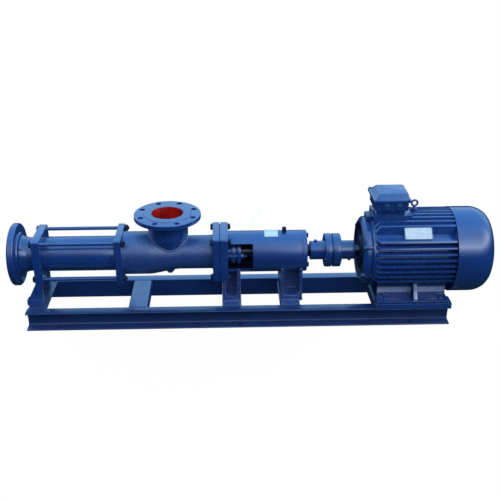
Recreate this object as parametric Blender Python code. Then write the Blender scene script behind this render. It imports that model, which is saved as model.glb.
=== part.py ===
"""A single-screw (progressive-cavity) pump and its electric motor on a welded base frame.

The pump's axis runs along X at y = 0: the discharge flange faces -X, the inlet flange faces +Z and
the motor stands at +X. All sizes below are in millimetres; MM turns them into metres.
"""

import math

import bmesh
import bpy

MM = 0.001
GAP = 0.3
WELD = 0.003
SIDES = 32

# The x values below are measured from the pump's middle; the whole set is moved by this much, so that
# x = 0 is halfway between its two ends
DATUM_X = 5.5

# Heights and overall reach
AXIS_Z = 215.0
FACE_X = -781.0
TAIL_X = 770.0

# Base frame: channels with their open side outward, and cross channels lying web up
RAIL_X = (-736.0, 642.0)
RAIL_TIP_Y = 130.0
RAIL_BACK_Y = 94.0
CHANNEL_H = 63.0
FLANGE_T = 6.0
WEB_T = 5.0
CROSS_W = 63.0
CROSS_DROP = 36.0
CROSS_STARTS = (-736.0, -409.0, -102.0, 91.5, 400.0, 579.0)
ANCHOR_XS = (-637.0, -45.0, 513.0)
ANCHOR_R = 7.0

# Square end plates of the pump and the tie rods through their corners
PLATE_HALF = 74.5
ROD_AT = 62.0
ROD_R = 6.0
ROD_HOLE_R = 7.0
NUT_R = 11.0
NUT_H = 10.0
PLATE_1_X = (-704.0, -679.0)
PLATE_2_X = (-442.5, -422.0)
PLATE_3_X = (-130.0, -107.3)
PLATE_4_X = (-107.0, -81.0)

# Discharge end
DISCHARGE_R = 102.0
DISCHARGE_BORE_R = 40.0
NECK_R = 55.0
DISCHARGE_FOOT_T = 15.0
DISCHARGE_TOE = 35.0

# Stator, rotor and the rod that drives the rotor
STATOR_R = 57.0
STATOR_WALL = 6.0
LINING_BORE_R = 38.5
ROTOR_R = 25.0
ROTOR_ECCENTRICITY = 8.0
ROTOR_PITCH = 84.0
ROTOR_X = (-667.0, -434.0)
JOINT_R = 27.0
JOINT_L = 46.0
LINK_R = 15.0
LINK_X = (-433.7, -160.0)
SHAFT_R = 20.0

# Suction chamber and inlet nozzle
CHAMBER_R = 70.5
CHAMBER_SMALL_R = 55.0
CHAMBER_WALL = 9.0
CONE_X = (-338.0, -240.0)
INLET_X = -274.0
INLET_TOP_Z = 355.0
INLET_FLANGE_R = 107.5
INLET_FLANGE_T = 16.0
INLET_NECK_R = 64.5
INLET_ROOT_R = 51.5
INLET_CONE_Z = (240.0, 281.0)
INLET_BORE_R = 50.0
INLET_HOLE_CIRCLE_R = 90.0
INLET_HOLE_R = 9.0
INLET_HOLES = 8
DRAIN_XY = (-272.0, -12.0)
DRAIN_Z = 153.0

# Bearing housing
BARREL_R = 68.0
BARREL_WALL = 12.0
BARREL_END_X = 158.0
COVER_T = 18.0
WINDOW_HALF = 48.0
LEG_HALF_Y = 64.0
FRONT_LEG_X = (-99.5, -41.0)
REAR_LEG_X = (90.0, 162.0)
FOOT_T = 18.0

# Coupling
HUB_R = 31.0
COUPLING_R = 55.5
HUB_PUMP_X = (189.0, 237.5)
COUPLING_SPLIT_X = 260.0
HUB_MOTOR_X = (288.0, 336.0)

# Motor, shaft height 132 mm above its feet
MOTOR_SHAFT_R = 19.0
SHIELD_X = (350.0, 385.7)
SHIELD_R = 111.0
SHIELD_FACE_R = 98.0
SHIELD_LUG_AT = 102.0
SHIELD_LUG_ANGLES = (28.0, 152.0, 208.0, 332.0)
FRAME_X = (386.0, 642.0)
CORE_R = 114.0
END_RING_R = 119.0
FIN_R = 135.5
TOP_FIN_R = 139.0
FIN_ROOT_HALF_T = 4.0
FIN_TIP_HALF_T = 2.6
FIN_TAPER_L = 16.0
SIDE_FIN_HEIGHTS = tuple(-59.8 + 19.35 * i for i in range(8))
TOP_FIN_OFFSETS = tuple(-76.05 + 16.9 * i for i in range(10))
SHELF_ROOT = (80.0, 86.0)
PLATE_TOP = (79.0, 326.6)
PLATE_FOOT = (105.0, 296.9)
PLATE_SEAT_X = (475.0, 566.0)
PLATE_X = (478.0, 563.0)
REAR_SHIELD_X = (642.3, 670.0)
COWL_X = (643.5, TAIL_X)
COWL_R = 140.0
COWL_WALL = 3.0
COWL_SIDES = 40
COWL_SHOULDER_L = 60.0
COWL_SHOULDER_R = 47.0
COWL_LUG_AT = 120.0
FOOT_X = (397.0, 629.0)
FOOT_WALL_START_X = 405.0
GUSSET_X = (516.5, 528.0)
FOOT_TIP_Y = 138.0
FOOT_ROOT_Y = 74.0
MOTOR_FOOT_Z = 83.0
MOTOR_FOOT_T = 9.5
FOOT_BOLT_XS = (430.0, 608.0)
FOOT_BOLT_Y = 108.0
PACKER_X = (398.0, 641.0)
PACKER_Y = (88.0, 137.5)
SEAT_X = (386.0, 508.0)
SEAT_HALF_Y = 46.0
SEAT_Z = 354.0
BOX_X = (386.0, 492.0)
BOX_HALF_Y = 55.0
BOX_Z = (373.0, 402.7)
LID_X = (379.0, 497.0)
LID_HALF_Y = 62.0
LID_Z = (403.0, 411.0)
LID_PANEL_TOP_Z = 427.0
EYE_X = 522.5
EYE_Z = 379.0
EYE_RING_R = 9.7
EYE_WIRE_R = 3.0
EYE_SEAT_Z = 360.0


def principled(name, colour, roughness, metallic):
    """Return the named paint or metal, made once."""
    found = bpy.data.materials.get(name)
    if found:
        return found
    material = bpy.data.materials.new(name)
    material.use_nodes = True
    shader = material.node_tree.nodes["Principled BSDF"]
    shader.inputs["Base Color"].default_value = (*colour, 1.0)
    shader.inputs["Roughness"].default_value = roughness
    shader.inputs["Metallic"].default_value = metallic
    return material


def blue_paint():
    return principled("blue_paint", (0.018, 0.065, 0.235), 0.35, 0.0)


def bare_steel():
    return principled("bare_steel", (0.45, 0.45, 0.46), 0.35, 1.0)


def black_rubber():
    return principled("black_rubber", (0.02, 0.02, 0.02), 0.8, 0.0)


def pale_aluminium():
    return principled("pale_aluminium", (0.72, 0.74, 0.74), 0.4, 0.6)


def scene_object(name, mesh):
    """Put a mesh in the scene under its name."""
    made = bpy.data.objects.new(name, mesh)
    bpy.context.scene.collection.objects.link(made)
    return made


def mesh_object(name, build):
    """Make an object whose bmesh is filled by build, with its faces turned outward."""
    bm = bmesh.new()
    build(bm)
    bmesh.ops.recalc_face_normals(bm, faces=bm.faces)
    bmesh.ops.translate(bm, vec=(DATUM_X, 0.0, 0.0), verts=bm.verts)
    bmesh.ops.scale(bm, vec=(MM, MM, MM), verts=bm.verts)
    mesh = bpy.data.meshes.new(name)
    bm.to_mesh(mesh)
    bm.free()
    return scene_object(name, mesh)


def to_world(axis, along, across, up):
    """Turn a place along an axis and across it into x, y, z."""
    if axis == "X":
        return (along, across, up)
    if axis == "Y":
        return (across, along, up)
    return (across, up, along)


def prism(name, axis, start, end, outline):
    """Extrude an outline: (y, z) points along X, (x, z) along Y or (x, y) along Z."""
    def build(bm):
        ends = []
        for along in (start, end):
            ends.append([bm.verts.new(to_world(axis, along, a, b)) for a, b in outline])
        bm.faces.new(ends[0])
        bm.faces.new(ends[1])
        count = len(outline)
        for i in range(count):
            j = (i + 1) % count
            bm.faces.new((ends[0][i], ends[0][j], ends[1][j], ends[1][i]))
    return mesh_object(name, build)


def block(name, xs, ys, zs):
    """A plain box between two x, two y and two z values."""
    corners = ((xs[0], ys[0]), (xs[1], ys[0]), (xs[1], ys[1]), (xs[0], ys[1]))
    return prism(name, "Z", zs[0], zs[1], corners)


def bevelled_block(name, xs, ys, zs, width, segments=1):
    """A box with its edges bevelled."""
    made = block(name, xs, ys, zs)
    bevel = made.modifiers.new("bevel", "BEVEL")
    bevel.width = width * MM
    bevel.segments = segments
    graph = bpy.context.evaluated_depsgraph_get()
    mesh = bpy.data.meshes.new_from_object(made.evaluated_get(graph))
    made.modifiers.clear()
    made.data = mesh
    return made


def circle_points(radius, count, centre=(0.0, 0.0), turn=0.0):
    """Points round a circle, the first one at the angle turn."""
    points = []
    for i in range(count):
        angle = turn + 2 * math.pi * i / count
        points.append((centre[0] + radius * math.cos(angle), centre[1] + radius * math.sin(angle)))
    return points


def drum(name, axis, start, end, radius, centre, sides=SIDES):
    """A plain cylinder along an axis, its centre given in the two other directions."""
    return prism(name, axis, start, end, circle_points(radius, sides, centre, math.pi / sides))


def turned(name, axis, profile, centre, sides=SIDES):
    """Turn a profile of (along, radius) points round an axis.

    A profile that starts and ends at radius 0 is solid; any other one is closed into a ring.
    """
    solid = profile[0][1] == 0 and profile[-1][1] == 0

    def build(bm):
        rings = []
        for along, radius in profile:
            if radius == 0:
                rings.append([bm.verts.new(to_world(axis, along, centre[0], centre[1]))])
            else:
                points = circle_points(radius, sides, centre, math.pi / sides)
                rings.append([bm.verts.new(to_world(axis, along, a, b)) for a, b in points])
        pairs = list(zip(rings, rings[1:]))
        if not solid:
            pairs.append((rings[-1], rings[0]))
        for first, second in pairs:
            for i in range(sides):
                j = (i + 1) % sides
                if len(first) == 1:
                    bm.faces.new((first[0], second[i], second[j]))
                elif len(second) == 1:
                    bm.faces.new((first[i], first[j], second[0]))
                else:
                    bm.faces.new((first[i], first[j], second[j], second[i]))
    return mesh_object(name, build)


def weld(mesh):
    """Merge the doubled points that a boolean leaves."""
    bm = bmesh.new()
    bm.from_mesh(mesh)
    bmesh.ops.remove_doubles(bm, verts=bm.verts, dist=WELD * MM)
    bmesh.ops.dissolve_degenerate(bm, edges=bm.edges, dist=WELD * MM)
    bm.to_mesh(mesh)
    bm.free()


def combine(target, tools, operation):
    """Join or cut the target with each tool by an exact boolean, and remove the tools."""
    for tool in tools:
        step = target.modifiers.new("step", "BOOLEAN")
        step.operation = operation
        step.solver = "EXACT"
        step.object = tool
        bpy.context.view_layer.update()
        graph = bpy.context.evaluated_depsgraph_get()
        mesh = bpy.data.meshes.new_from_object(target.evaluated_get(graph))
        weld(mesh)
        target.modifiers.clear()
        target.data = mesh
        bpy.data.objects.remove(tool, do_unlink=True)
    return target


def join(target, *tools):
    return combine(target, tools, "UNION")


def cut(target, *tools):
    return combine(target, tools, "DIFFERENCE")


def finish(part, material, angle=35.0):
    """Give a piece its material and shade its round faces smooth."""
    part.data.materials.clear()
    part.data.materials.append(material)
    part.data.shade_smooth()
    part.data.set_sharp_from_angle(angle=math.radians(angle))
    part.data.name = part.name
    return part


def hang_on_axis(part):
    """Move a turning piece's origin onto the pump's axis without moving the piece."""
    for vertex in part.data.vertices:
        vertex.co.z -= AXIS_Z * MM
    part.location = (0.0, 0.0, AXIS_Z * MM)
    return part


def arc(centre, radius, start, end, steps):
    """Points along an arc, angles in degrees."""
    points = []
    for i in range(steps + 1):
        angle = math.radians(start + (end - start) * i / steps)
        points.append((centre[0] + radius * math.cos(angle), centre[1] + radius * math.sin(angle)))
    return points


# Base frame

def rail(name, side):
    """A side channel, side -1 toward the viewer; its bottom flange has three anchor holes."""
    tip = side * RAIL_TIP_Y
    back = side * RAIL_BACK_Y
    inner = side * (RAIL_BACK_Y + WEB_T)
    top = CHANNEL_H
    outline = ((back, 0.0), (tip, 0.0), (tip, FLANGE_T), (inner, FLANGE_T),
               (inner, top - FLANGE_T), (tip, top - FLANGE_T), (tip, top), (back, top))
    made = prism(name, "X", RAIL_X[0], RAIL_X[1], outline)
    middle = side * (RAIL_BACK_Y + WEB_T + RAIL_TIP_Y) / 2
    for x in ANCHOR_XS:
        cut(made, drum("anchor", "Z", -5.0, FLANGE_T + 5.0, ANCHOR_R, (x, middle), 12))
    return finish(made, blue_paint())


def crossmember(name, start, angle_only=False):
    """A cross channel between the rails, web up and flanges down; the end one is an angle."""
    end = start + CROSS_W
    top = CHANNEL_H
    under = top - WEB_T
    drop = top - CROSS_DROP
    outline = [(start, top), (start, drop), (start + FLANGE_T, drop), (start + FLANGE_T, under)]
    if angle_only:
        outline += [(end, under), (end, top)]
    else:
        outline += [(end - FLANGE_T, under), (end - FLANGE_T, drop), (end, drop), (end, top)]
    reach = RAIL_BACK_Y - GAP
    return finish(prism(name, "Y", -reach, reach, outline), blue_paint())


# Pump

def square_plate(name, xs):
    """A square plate across the axis, with its edges broken."""
    zs = (AXIS_Z - PLATE_HALF, AXIS_Z + PLATE_HALF)
    return bevelled_block(name, xs, (-PLATE_HALF, PLATE_HALF), zs, 1.2)


def corners():
    """The four (y, z) places of the rods and bolts, lower pair first."""
    return [(y, AXIS_Z + z) for z in (-ROD_AT, ROD_AT) for y in (-ROD_AT, ROD_AT)]


def corner_holes(made, xs):
    """Cut a bolt hole through each corner of a square plate."""
    for place in corners():
        cut(made, drum("hole", "X", xs[0] - 5.0, xs[1] + 5.0, ROD_HOLE_R, place, 12))


def arch_foot(side):
    """One leg of the discharge end's foot, with its toe spread toward the flange."""
    left = PLATE_1_X[0]
    right = left + DISCHARGE_FOOT_T
    toe = left - DISCHARGE_TOE
    base = CHANNEL_H + GAP
    high = AXIS_Z - PLATE_HALF + 12.0
    outline = ((toe, base), (right, base), (right, high), (left, high), (left, high - 14.0),
               (toe, base + FOOT_T))
    inner = side * (PLATE_HALF - 30.0)
    outer = side * PLATE_HALF
    return prism("leg", "Y", min(inner, outer), max(inner, outer), outline)


def discharge_body():
    """Outlet flange with its stepped back, neck, square plate and two-legged foot."""
    rim = DISCHARGE_R
    steps = ((0.0, rim - 7.0), (2.0, rim - 2.5), (5.0, rim), (20.0, rim), (22.5, rim - 2.5),
             (23.5, rim - 6.0), (23.5, NECK_R + 19.0), (29.0, NECK_R + 17.0), (31.5, NECK_R + 9.0),
             (40.0, NECK_R + 4.0), (55.0, NECK_R))
    plate = PLATE_1_X[0] + 4.0
    profile = [(FACE_X, 0.0)] + [(FACE_X + along, radius) for along, radius in steps]
    profile += [(plate, NECK_R), (plate, 0.0)]
    made = square_plate("discharge_body", PLATE_1_X)
    join(made, turned("neck", "X", profile, (0.0, AXIS_Z), 40))
    join(made, arch_foot(-1), arch_foot(1))
    bore = drum("bore", "X", FACE_X - 5.0, PLATE_1_X[1] + 5.0, DISCHARGE_BORE_R, (0.0, AXIS_Z))
    cut(made, bore)
    corner_holes(made, PLATE_1_X)
    return finish(made, blue_paint())


def stator_tube():
    """Steel tube clamped between the first two plates."""
    start = PLATE_1_X[1] + GAP
    end = PLATE_2_X[0] - GAP
    inner = STATOR_R - STATOR_WALL
    profile = [(start, STATOR_R), (end, STATOR_R), (end, inner), (start, inner)]
    return finish(turned("stator_tube", "X", profile, (0.0, AXIS_Z)), blue_paint())


def stator_lining():
    """Rubber lining moulded into the stator tube."""
    start = PLATE_1_X[1] + GAP
    end = PLATE_2_X[0] - GAP
    outer = STATOR_R - STATOR_WALL - GAP
    profile = [(start, outer), (end, outer), (end, LINING_BORE_R), (start, LINING_BORE_R)]
    return finish(turned("stator_lining", "X", profile, (0.0, AXIS_Z)), black_rubber())


def tie_rod(name, y, z):
    """A long stud with a nut on the outside of each plate."""
    left = PLATE_1_X[0] - GAP
    right = PLATE_2_X[1] + GAP
    made = drum(name, "X", left - NUT_H + 0.5, right + NUT_H + 4.0, ROD_R, (y, z), 12)
    join(made, drum("nut", "X", left - NUT_H + 2.0, left, NUT_R, (y, z), 6))
    join(made, drum("nut", "X", right, right + NUT_H, NUT_R, (y, z), 6))
    return finish(made, blue_paint())


def housing_bolt(name, y, z):
    """A bolt through the suction body's plate and the bearing housing's plate."""
    left = PLATE_3_X[0] - GAP
    right = PLATE_4_X[1] + GAP
    high = NUT_H - 2.0
    made = drum(name, "X", left - 1.0, right + high + 1.5, ROD_R, (y, z), 12)
    join(made, drum("head", "X", left - high, left, NUT_R, (y, z), 6))
    join(made, drum("nut", "X", right, right + high, NUT_R, (y, z), 6))
    return finish(made, blue_paint())


def suction_plate(name, xs, bore):
    """One square end plate of the suction chamber."""
    made = square_plate(name, xs)
    cut(made, drum("bore", "X", xs[0] - 5.0, xs[1] + 5.0, bore, (0.0, AXIS_Z)))
    corner_holes(made, xs)
    return finish(made, blue_paint())


def chamber_outline(grow):
    """Outer profile of the suction chamber between its plates, grown by a small amount."""
    left = PLATE_2_X[1] + GAP
    right = PLATE_3_X[0] - GAP
    return [(left, CHAMBER_R + grow), (CONE_X[0], CHAMBER_R + grow), (CONE_X[1], CHAMBER_SMALL_R + grow),
            (right, CHAMBER_SMALL_R + grow)]


def suction_chamber():
    """Chamber that narrows toward the bearing housing, open at the top, with its drain boss."""
    outer = chamber_outline(0.0)
    left = outer[0][0]
    right = outer[-1][0]
    made = turned("suction_chamber", "X", [(left, 0.0)] + outer + [(right, 0.0)], (0.0, AXIS_Z))
    join(made, drum("boss", "Z", DRAIN_Z, AXIS_Z - 50.0, 14.0, DRAIN_XY, 16))
    wall = CHAMBER_WALL
    inner = [(left - 5.0, 0.0), (left - 5.0, CHAMBER_R - wall), (CONE_X[0], CHAMBER_R - wall),
             (CONE_X[1], CHAMBER_SMALL_R - wall), (right + 5.0, CHAMBER_SMALL_R - wall), (right + 5.0, 0.0)]
    cut(made, turned("inside", "X", inner, (0.0, AXIS_Z)))
    cut(made, drum("bore", "Z", AXIS_Z - 3.0, INLET_TOP_Z, INLET_BORE_R, (INLET_X, 0.0)))
    return finish(made, blue_paint())


def inlet_nozzle():
    """Inlet neck that stands on the chamber, with its drilled flange."""
    low = INLET_TOP_Z - INLET_FLANGE_T
    root_z, neck_z = INLET_CONE_Z
    profile = [(AXIS_Z - 9.0, 0.0), (AXIS_Z - 9.0, INLET_ROOT_R), (root_z, INLET_ROOT_R),
               (neck_z, INLET_NECK_R), (low - 8.0, INLET_NECK_R), (low, INLET_NECK_R + 8.0),
               (low, INLET_FLANGE_R - 1.5), (low + 1.5, INLET_FLANGE_R),
               (INLET_TOP_Z - 1.5, INLET_FLANGE_R), (INLET_TOP_Z, INLET_FLANGE_R - 1.5),
               (INLET_TOP_Z, 0.0)]
    made = turned("inlet_nozzle", "Z", profile, (INLET_X, 0.0))
    seat = chamber_outline(GAP)
    seat = [(seat[0][0], 0.0)] + seat + [(seat[-1][0], 0.0)]
    cut(made, turned("seat", "X", seat, (0.0, AXIS_Z)))
    cut(made, drum("bore", "Z", AXIS_Z - 20.0, INLET_TOP_Z + 5.0, INLET_BORE_R, (INLET_X, 0.0)))
    for i in range(INLET_HOLES):
        angle = 2 * math.pi * (i + 0.5) / INLET_HOLES
        x = INLET_X + INLET_HOLE_CIRCLE_R * math.cos(angle)
        y = INLET_HOLE_CIRCLE_R * math.sin(angle)
        cut(made, drum("hole", "Z", low - 5.0, INLET_TOP_Z + 5.0, INLET_HOLE_R, (x, y), 12))
    return finish(made, blue_paint())


def drain_plug():
    """Hexagon plug under the suction chamber's drain boss."""
    top = DRAIN_Z - GAP
    made = drum("drain_plug", "Z", top - 5.0, top, 8.5, DRAIN_XY, 6)
    return finish(made, blue_paint())


def bearing_leg(name, xs):
    """A leg under the bearing barrel, hollowed from both sides round a middle web."""
    base = CHANNEL_H + GAP
    made = block(name, xs, (-LEG_HALF_Y, LEG_HALF_Y), (base, AXIS_Z - 35.0))
    wall = 10.0
    low = base + FOOT_T
    left = xs[0] + wall
    right = xs[1] - wall
    round_r = 12.0
    outline = [(right, AXIS_Z), (left, AXIS_Z)]
    outline += arc((left + round_r, low + round_r), round_r, 180.0, 270.0, 4)
    outline += arc((right - round_r, low + round_r), round_r, 270.0, 360.0, 4)
    for side in (-1, 1):
        inner = side * 7.0
        outer = side * (LEG_HALF_Y + 5.0)
        cut(made, prism("pocket", "Y", min(inner, outer), max(inner, outer), outline))
    seat_r = (BARREL_R + GAP) / math.cos(math.pi / SIDES)
    cut(made, drum("seat", "X", xs[0] - 5.0, xs[1] + 5.0, seat_r, (0.0, AXIS_Z)))
    if xs[0] < PLATE_4_X[1]:
        reach = PLATE_HALF + GAP
        cut(made, block("plate", (xs[0] - 5.0, PLATE_4_X[1] + GAP), (-reach, reach),
                        (AXIS_Z - reach, AXIS_Z + reach)))
    return finish(made, blue_paint())


def bearing_housing():
    """Cast housing: square plate, windowed barrel round the gland and bearing barrel."""
    made = square_plate("bearing_housing", PLATE_4_X)
    join(made, drum("barrel", "X", PLATE_4_X[1] - 4.0, BARREL_END_X, BARREL_R, (0.0, AXIS_Z)))
    inner = BARREL_R - BARREL_WALL
    cut(made, drum("gland_room", "X", PLATE_4_X[1], 0.0, inner, (0.0, AXIS_Z)))
    cut(made, block("window", (PLATE_4_X[1], 0.0), (-BARREL_R - 5.0, 0.0),
                    (AXIS_Z - WINDOW_HALF, AXIS_Z + WINDOW_HALF)))
    cut(made, drum("bearing_bore", "X", 12.0, BARREL_END_X + 5.0, 46.0, (0.0, AXIS_Z)))
    shaft_hole = SHAFT_R + 0.8
    cut(made, drum("shaft", "X", PLATE_4_X[0] - 5.0, 20.0, shaft_hole, (0.0, AXIS_Z)))
    corner_holes(made, PLATE_4_X)
    return finish(made, blue_paint())


def packing_gland():
    """Gland follower with its two studs and nuts, seen through the window."""
    seat = PLATE_4_X[1] + GAP
    bore = SHAFT_R + 0.8
    profile = [(seat, 33.0), (seat + 30.0, 33.0), (seat + 30.0, 44.0), (seat + 42.0, 44.0),
               (seat + 42.0, bore), (seat, bore)]
    made = turned("packing_gland", "X", profile, (0.0, AXIS_Z), 24)
    for side in (-1, 1):
        y = side * 38.0
        join(made, drum("stud", "X", seat, seat + 60.0, 5.0, (y, AXIS_Z), 12))
        join(made, drum("nut", "X", seat + 41.0, seat + 50.0, 9.0, (y, AXIS_Z), 6))
    return finish(made, blue_paint())


def bearing(name, xs):
    """Ball bearing drawn as its outer shape, between the shaft and the housing's bore."""
    profile = [(xs[0], 45.6), (xs[1], 45.6), (xs[1], SHAFT_R + 0.8), (xs[0], SHAFT_R + 0.8)]
    return finish(turned(name, "X", profile, (0.0, AXIS_Z), 24), bare_steel())


def bearing_cover():
    """Cover that closes the drive end of the bearing barrel."""
    start = BARREL_END_X + GAP
    bore = SHAFT_R + 0.8
    face = start + COVER_T
    profile = [(start, bore), (start, BARREL_R), (face - 2.0, BARREL_R), (face, BARREL_R - 2.0),
               (face, 40.0), (face + 2.0, 36.0), (face + 2.0, bore)]
    made = turned("bearing_cover", "X", profile, (0.0, AXIS_Z), 24)
    for i in range(6):
        angle = math.radians(30.0 + 60.0 * i)
        y = 55.0 * math.cos(angle)
        z = AXIS_Z + 55.0 * math.sin(angle)
        join(made, drum("head", "X", face - 1.0, face + 6.0, 8.5, (y, z), 6))
    return finish(made, blue_paint())


def grease_nipple():
    """Grease nipple on top of the bearing barrel."""
    seat = AXIS_Z + BARREL_R - 0.4 + GAP
    profile = [(seat, 0.0), (seat, 8.5), (seat + 4.0, 8.5), (seat + 6.0, 6.0), (seat + 9.0, 7.5),
               (seat + 14.0, 7.5), (seat + 17.5, 4.5), (seat + 18.5, 2.0), (seat + 18.5, 0.0)]
    return finish(turned("grease_nipple", "Z", profile, (103.0, 0.0), 12), blue_paint())


def curved_plate(name, xs, inner_r, thickness, angles):
    """A thin bare plate bent round the axis, its angles measured from straight up."""
    outer = arc((0.0, AXIS_Z), inner_r + thickness, 90.0 + angles[0], 90.0 + angles[1], 5)
    inner = arc((0.0, AXIS_Z), inner_r, 90.0 + angles[1], 90.0 + angles[0], 5)
    return prism(name, "X", xs[0], xs[1], outer + inner)


def pump_nameplate():
    """Bare plate on the bearing barrel."""
    made = curved_plate("pump_nameplate", (38.0, 82.0), BARREL_R + GAP, 1.2, (-22.0, 23.0))
    return finish(made, pale_aluminium())


# Turning pieces

def screw_rotor():
    """Steel rotor: a round section that winds round the axis in a single helix."""
    steps = 32
    sides = 12
    length = ROTOR_X[1] - ROTOR_X[0]

    def build(bm):
        rings = []
        for i in range(steps + 1):
            x = ROTOR_X[0] + length * i / steps
            turn = 2 * math.pi * (x - ROTOR_X[0]) / ROTOR_PITCH
            y = ROTOR_ECCENTRICITY * math.cos(turn)
            z = AXIS_Z + ROTOR_ECCENTRICITY * math.sin(turn)
            points = circle_points(ROTOR_R, sides, (y, z))
            rings.append([bm.verts.new((x, a, b)) for a, b in points])
        bm.faces.new(rings[0])
        bm.faces.new(rings[-1])
        for first, second in zip(rings, rings[1:]):
            for i in range(sides):
                j = (i + 1) % sides
                bm.faces.new((first[i], first[j], second[j], second[i]))
    made = mesh_object("screw_rotor", build)
    return hang_on_axis(finish(made, bare_steel(), 60.0))


def connecting_rod():
    """Rod with a joint head at each end, between the shaft and the rotor."""
    left, right = LINK_X
    profile = [(left, 0.0), (left, JOINT_R), (left + JOINT_L, JOINT_R), (left + JOINT_L + 8.0, LINK_R),
               (right - JOINT_L - 8.0, LINK_R), (right - JOINT_L, JOINT_R), (right, JOINT_R),
               (right, 0.0)]
    made = turned("connecting_rod", "X", profile, (0.0, AXIS_Z), 24)
    return hang_on_axis(finish(made, bare_steel()))


def drive_shaft():
    """Pump shaft from the connecting rod through the gland and bearings to the coupling."""
    left = LINK_X[1] + GAP
    right = COUPLING_SPLIT_X - 2.0
    profile = [(left, 0.0), (left, SHAFT_R), (right, SHAFT_R), (right, 0.0)]
    made = turned("drive_shaft", "X", profile, (0.0, AXIS_Z))
    return hang_on_axis(finish(made, bare_steel()))


def coupling_half(name, hub_x, face_x, shaft_r):
    """One coupling half: a hub and the flange that faces the split."""
    hub_end = hub_x[0] if face_x > hub_x[0] else hub_x[1]
    flange = hub_x[1] if face_x > hub_x[0] else hub_x[0]
    bevel = math.copysign(2.0, face_x - hub_end)
    bore = shaft_r + GAP
    profile = [(hub_end, bore), (hub_end, HUB_R - 2.0), (hub_end + bevel, HUB_R), (flange, HUB_R),
               (flange, COUPLING_R - 2.0), (flange + bevel, COUPLING_R), (face_x, COUPLING_R),
               (face_x, bore)]
    made = turned(name, "X", profile, (0.0, AXIS_Z))
    return hang_on_axis(finish(made, blue_paint()))


def motor_shaft():
    """Motor shaft from the coupling through the motor to the fan."""
    left = COUPLING_SPLIT_X + 2.0
    neck = REAR_SHIELD_X[1] + 4.0
    right = neck + 44.0
    profile = [(left, 0.0), (left, MOTOR_SHAFT_R), (neck, MOTOR_SHAFT_R), (neck, 14.0),
               (right, 14.0), (right, 0.0)]
    made = turned("motor_shaft", "X", profile, (0.0, AXIS_Z))
    return hang_on_axis(finish(made, bare_steel()))


def cooling_fan():
    """Fan with straight blades on the motor shaft, under the cowl."""
    left = REAR_SHIELD_X[1] + 6.0
    hub = [(left, 14.0 + GAP), (left, 32.0), (left + 40.0, 26.0), (left + 40.0, 14.0 + GAP)]
    made = turned("cooling_fan", "X", hub, (0.0, AXIS_Z), 24)
    for i in range(8):
        angle = 2 * math.pi * i / 8
        blade = block("blade", (left + 3.0, left + 38.0), (-2.0, 2.0), (22.0, 108.0))
        for vertex in blade.data.vertices:
            y = vertex.co.y
            z = vertex.co.z
            vertex.co.y = y * math.cos(angle) - z * math.sin(angle)
            vertex.co.z = y * math.sin(angle) + z * math.cos(angle) + AXIS_Z * MM
        join(made, blade)
    return hang_on_axis(finish(made, blue_paint()))


# Motor

def fin(offset, facing, reach=FIN_R):
    """Four outline points of one fin; offset is across its direction, facing is that direction's angle."""
    points = []
    for step, radius in ((-FIN_ROOT_HALF_T, CORE_R), (-FIN_TIP_HALF_T, reach), (FIN_TIP_HALF_T, reach),
                         (FIN_ROOT_HALF_T, CORE_R)):
        across = offset + step
        along = math.sqrt(radius ** 2 - across ** 2)
        turn = math.radians(facing)
        y = along * math.cos(turn) - across * math.sin(turn)
        z = along * math.sin(turn) + across * math.cos(turn)
        points.append((y, z))
    return points


def frame_outline():
    """Cross-section of the finned motor frame, anticlockwise from the right-hand side.

    A shelf on each side runs from the top side fin to the outermost top fin, so their root points
    beside it are left out.
    """
    right_fins = []
    for height in SIDE_FIN_HEIGHTS:
        right_fins += fin(height, 0.0)
    top_fins = []
    for offset in TOP_FIN_OFFSETS:
        top_fins += fin(offset, 90.0, TOP_FIN_R)
    left_fins = []
    for height in reversed(SIDE_FIN_HEIGHTS):
        left_fins += fin(-height, 180.0)
    shelf_y, shelf_z = SHELF_ROOT
    points = right_fins[:-1] + [(shelf_y, shelf_z)]
    points += top_fins[1:-1] + [(-shelf_y, shelf_z)]
    points += left_fins[1:]
    points += arc((0.0, 0.0), CORE_R, 217.0, 323.0, 12)
    return [(y, AXIS_Z + z) for y, z in points]


def motor_foot(name, side):
    """One long foot: pad, upright wall to the frame and a gusset."""
    base = MOTOR_FOOT_Z
    pad_top = base + MOTOR_FOOT_T
    tip = side * FOOT_TIP_Y
    root = side * FOOT_ROOT_Y
    wall = side * (FOOT_ROOT_Y + 10.0)
    left, right = FOOT_X
    made = block(name, (left, right), sorted((root, tip)), (base, pad_top))
    top = AXIS_Z - 65.0
    join(made, block("wall", (FOOT_WALL_START_X, right), sorted((root, wall)), (base + 1.0, top)))
    edge = side * (FOOT_TIP_Y - 3.0)
    outline = ((edge, pad_top - 1.0), (edge, pad_top + 2.0), (side * 98.0, top), (root, top),
               (root, pad_top - 1.0))
    join(made, prism("gusset", "X", GUSSET_X[0], GUSSET_X[1], outline))
    seat_sides = 64
    seat_r = (CORE_R + GAP) / math.cos(math.pi / seat_sides)
    cut(made, drum("seat", "X", left - 5.0, right + 5.0, seat_r, (0.0, AXIS_Z), seat_sides))
    for x in FOOT_BOLT_XS:
        cut(made, drum("hole", "Z", base - 5.0, pad_top + 3.0, 6.0, (x, side * FOOT_BOLT_Y), 12))
    return finish(made, blue_paint())


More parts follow.
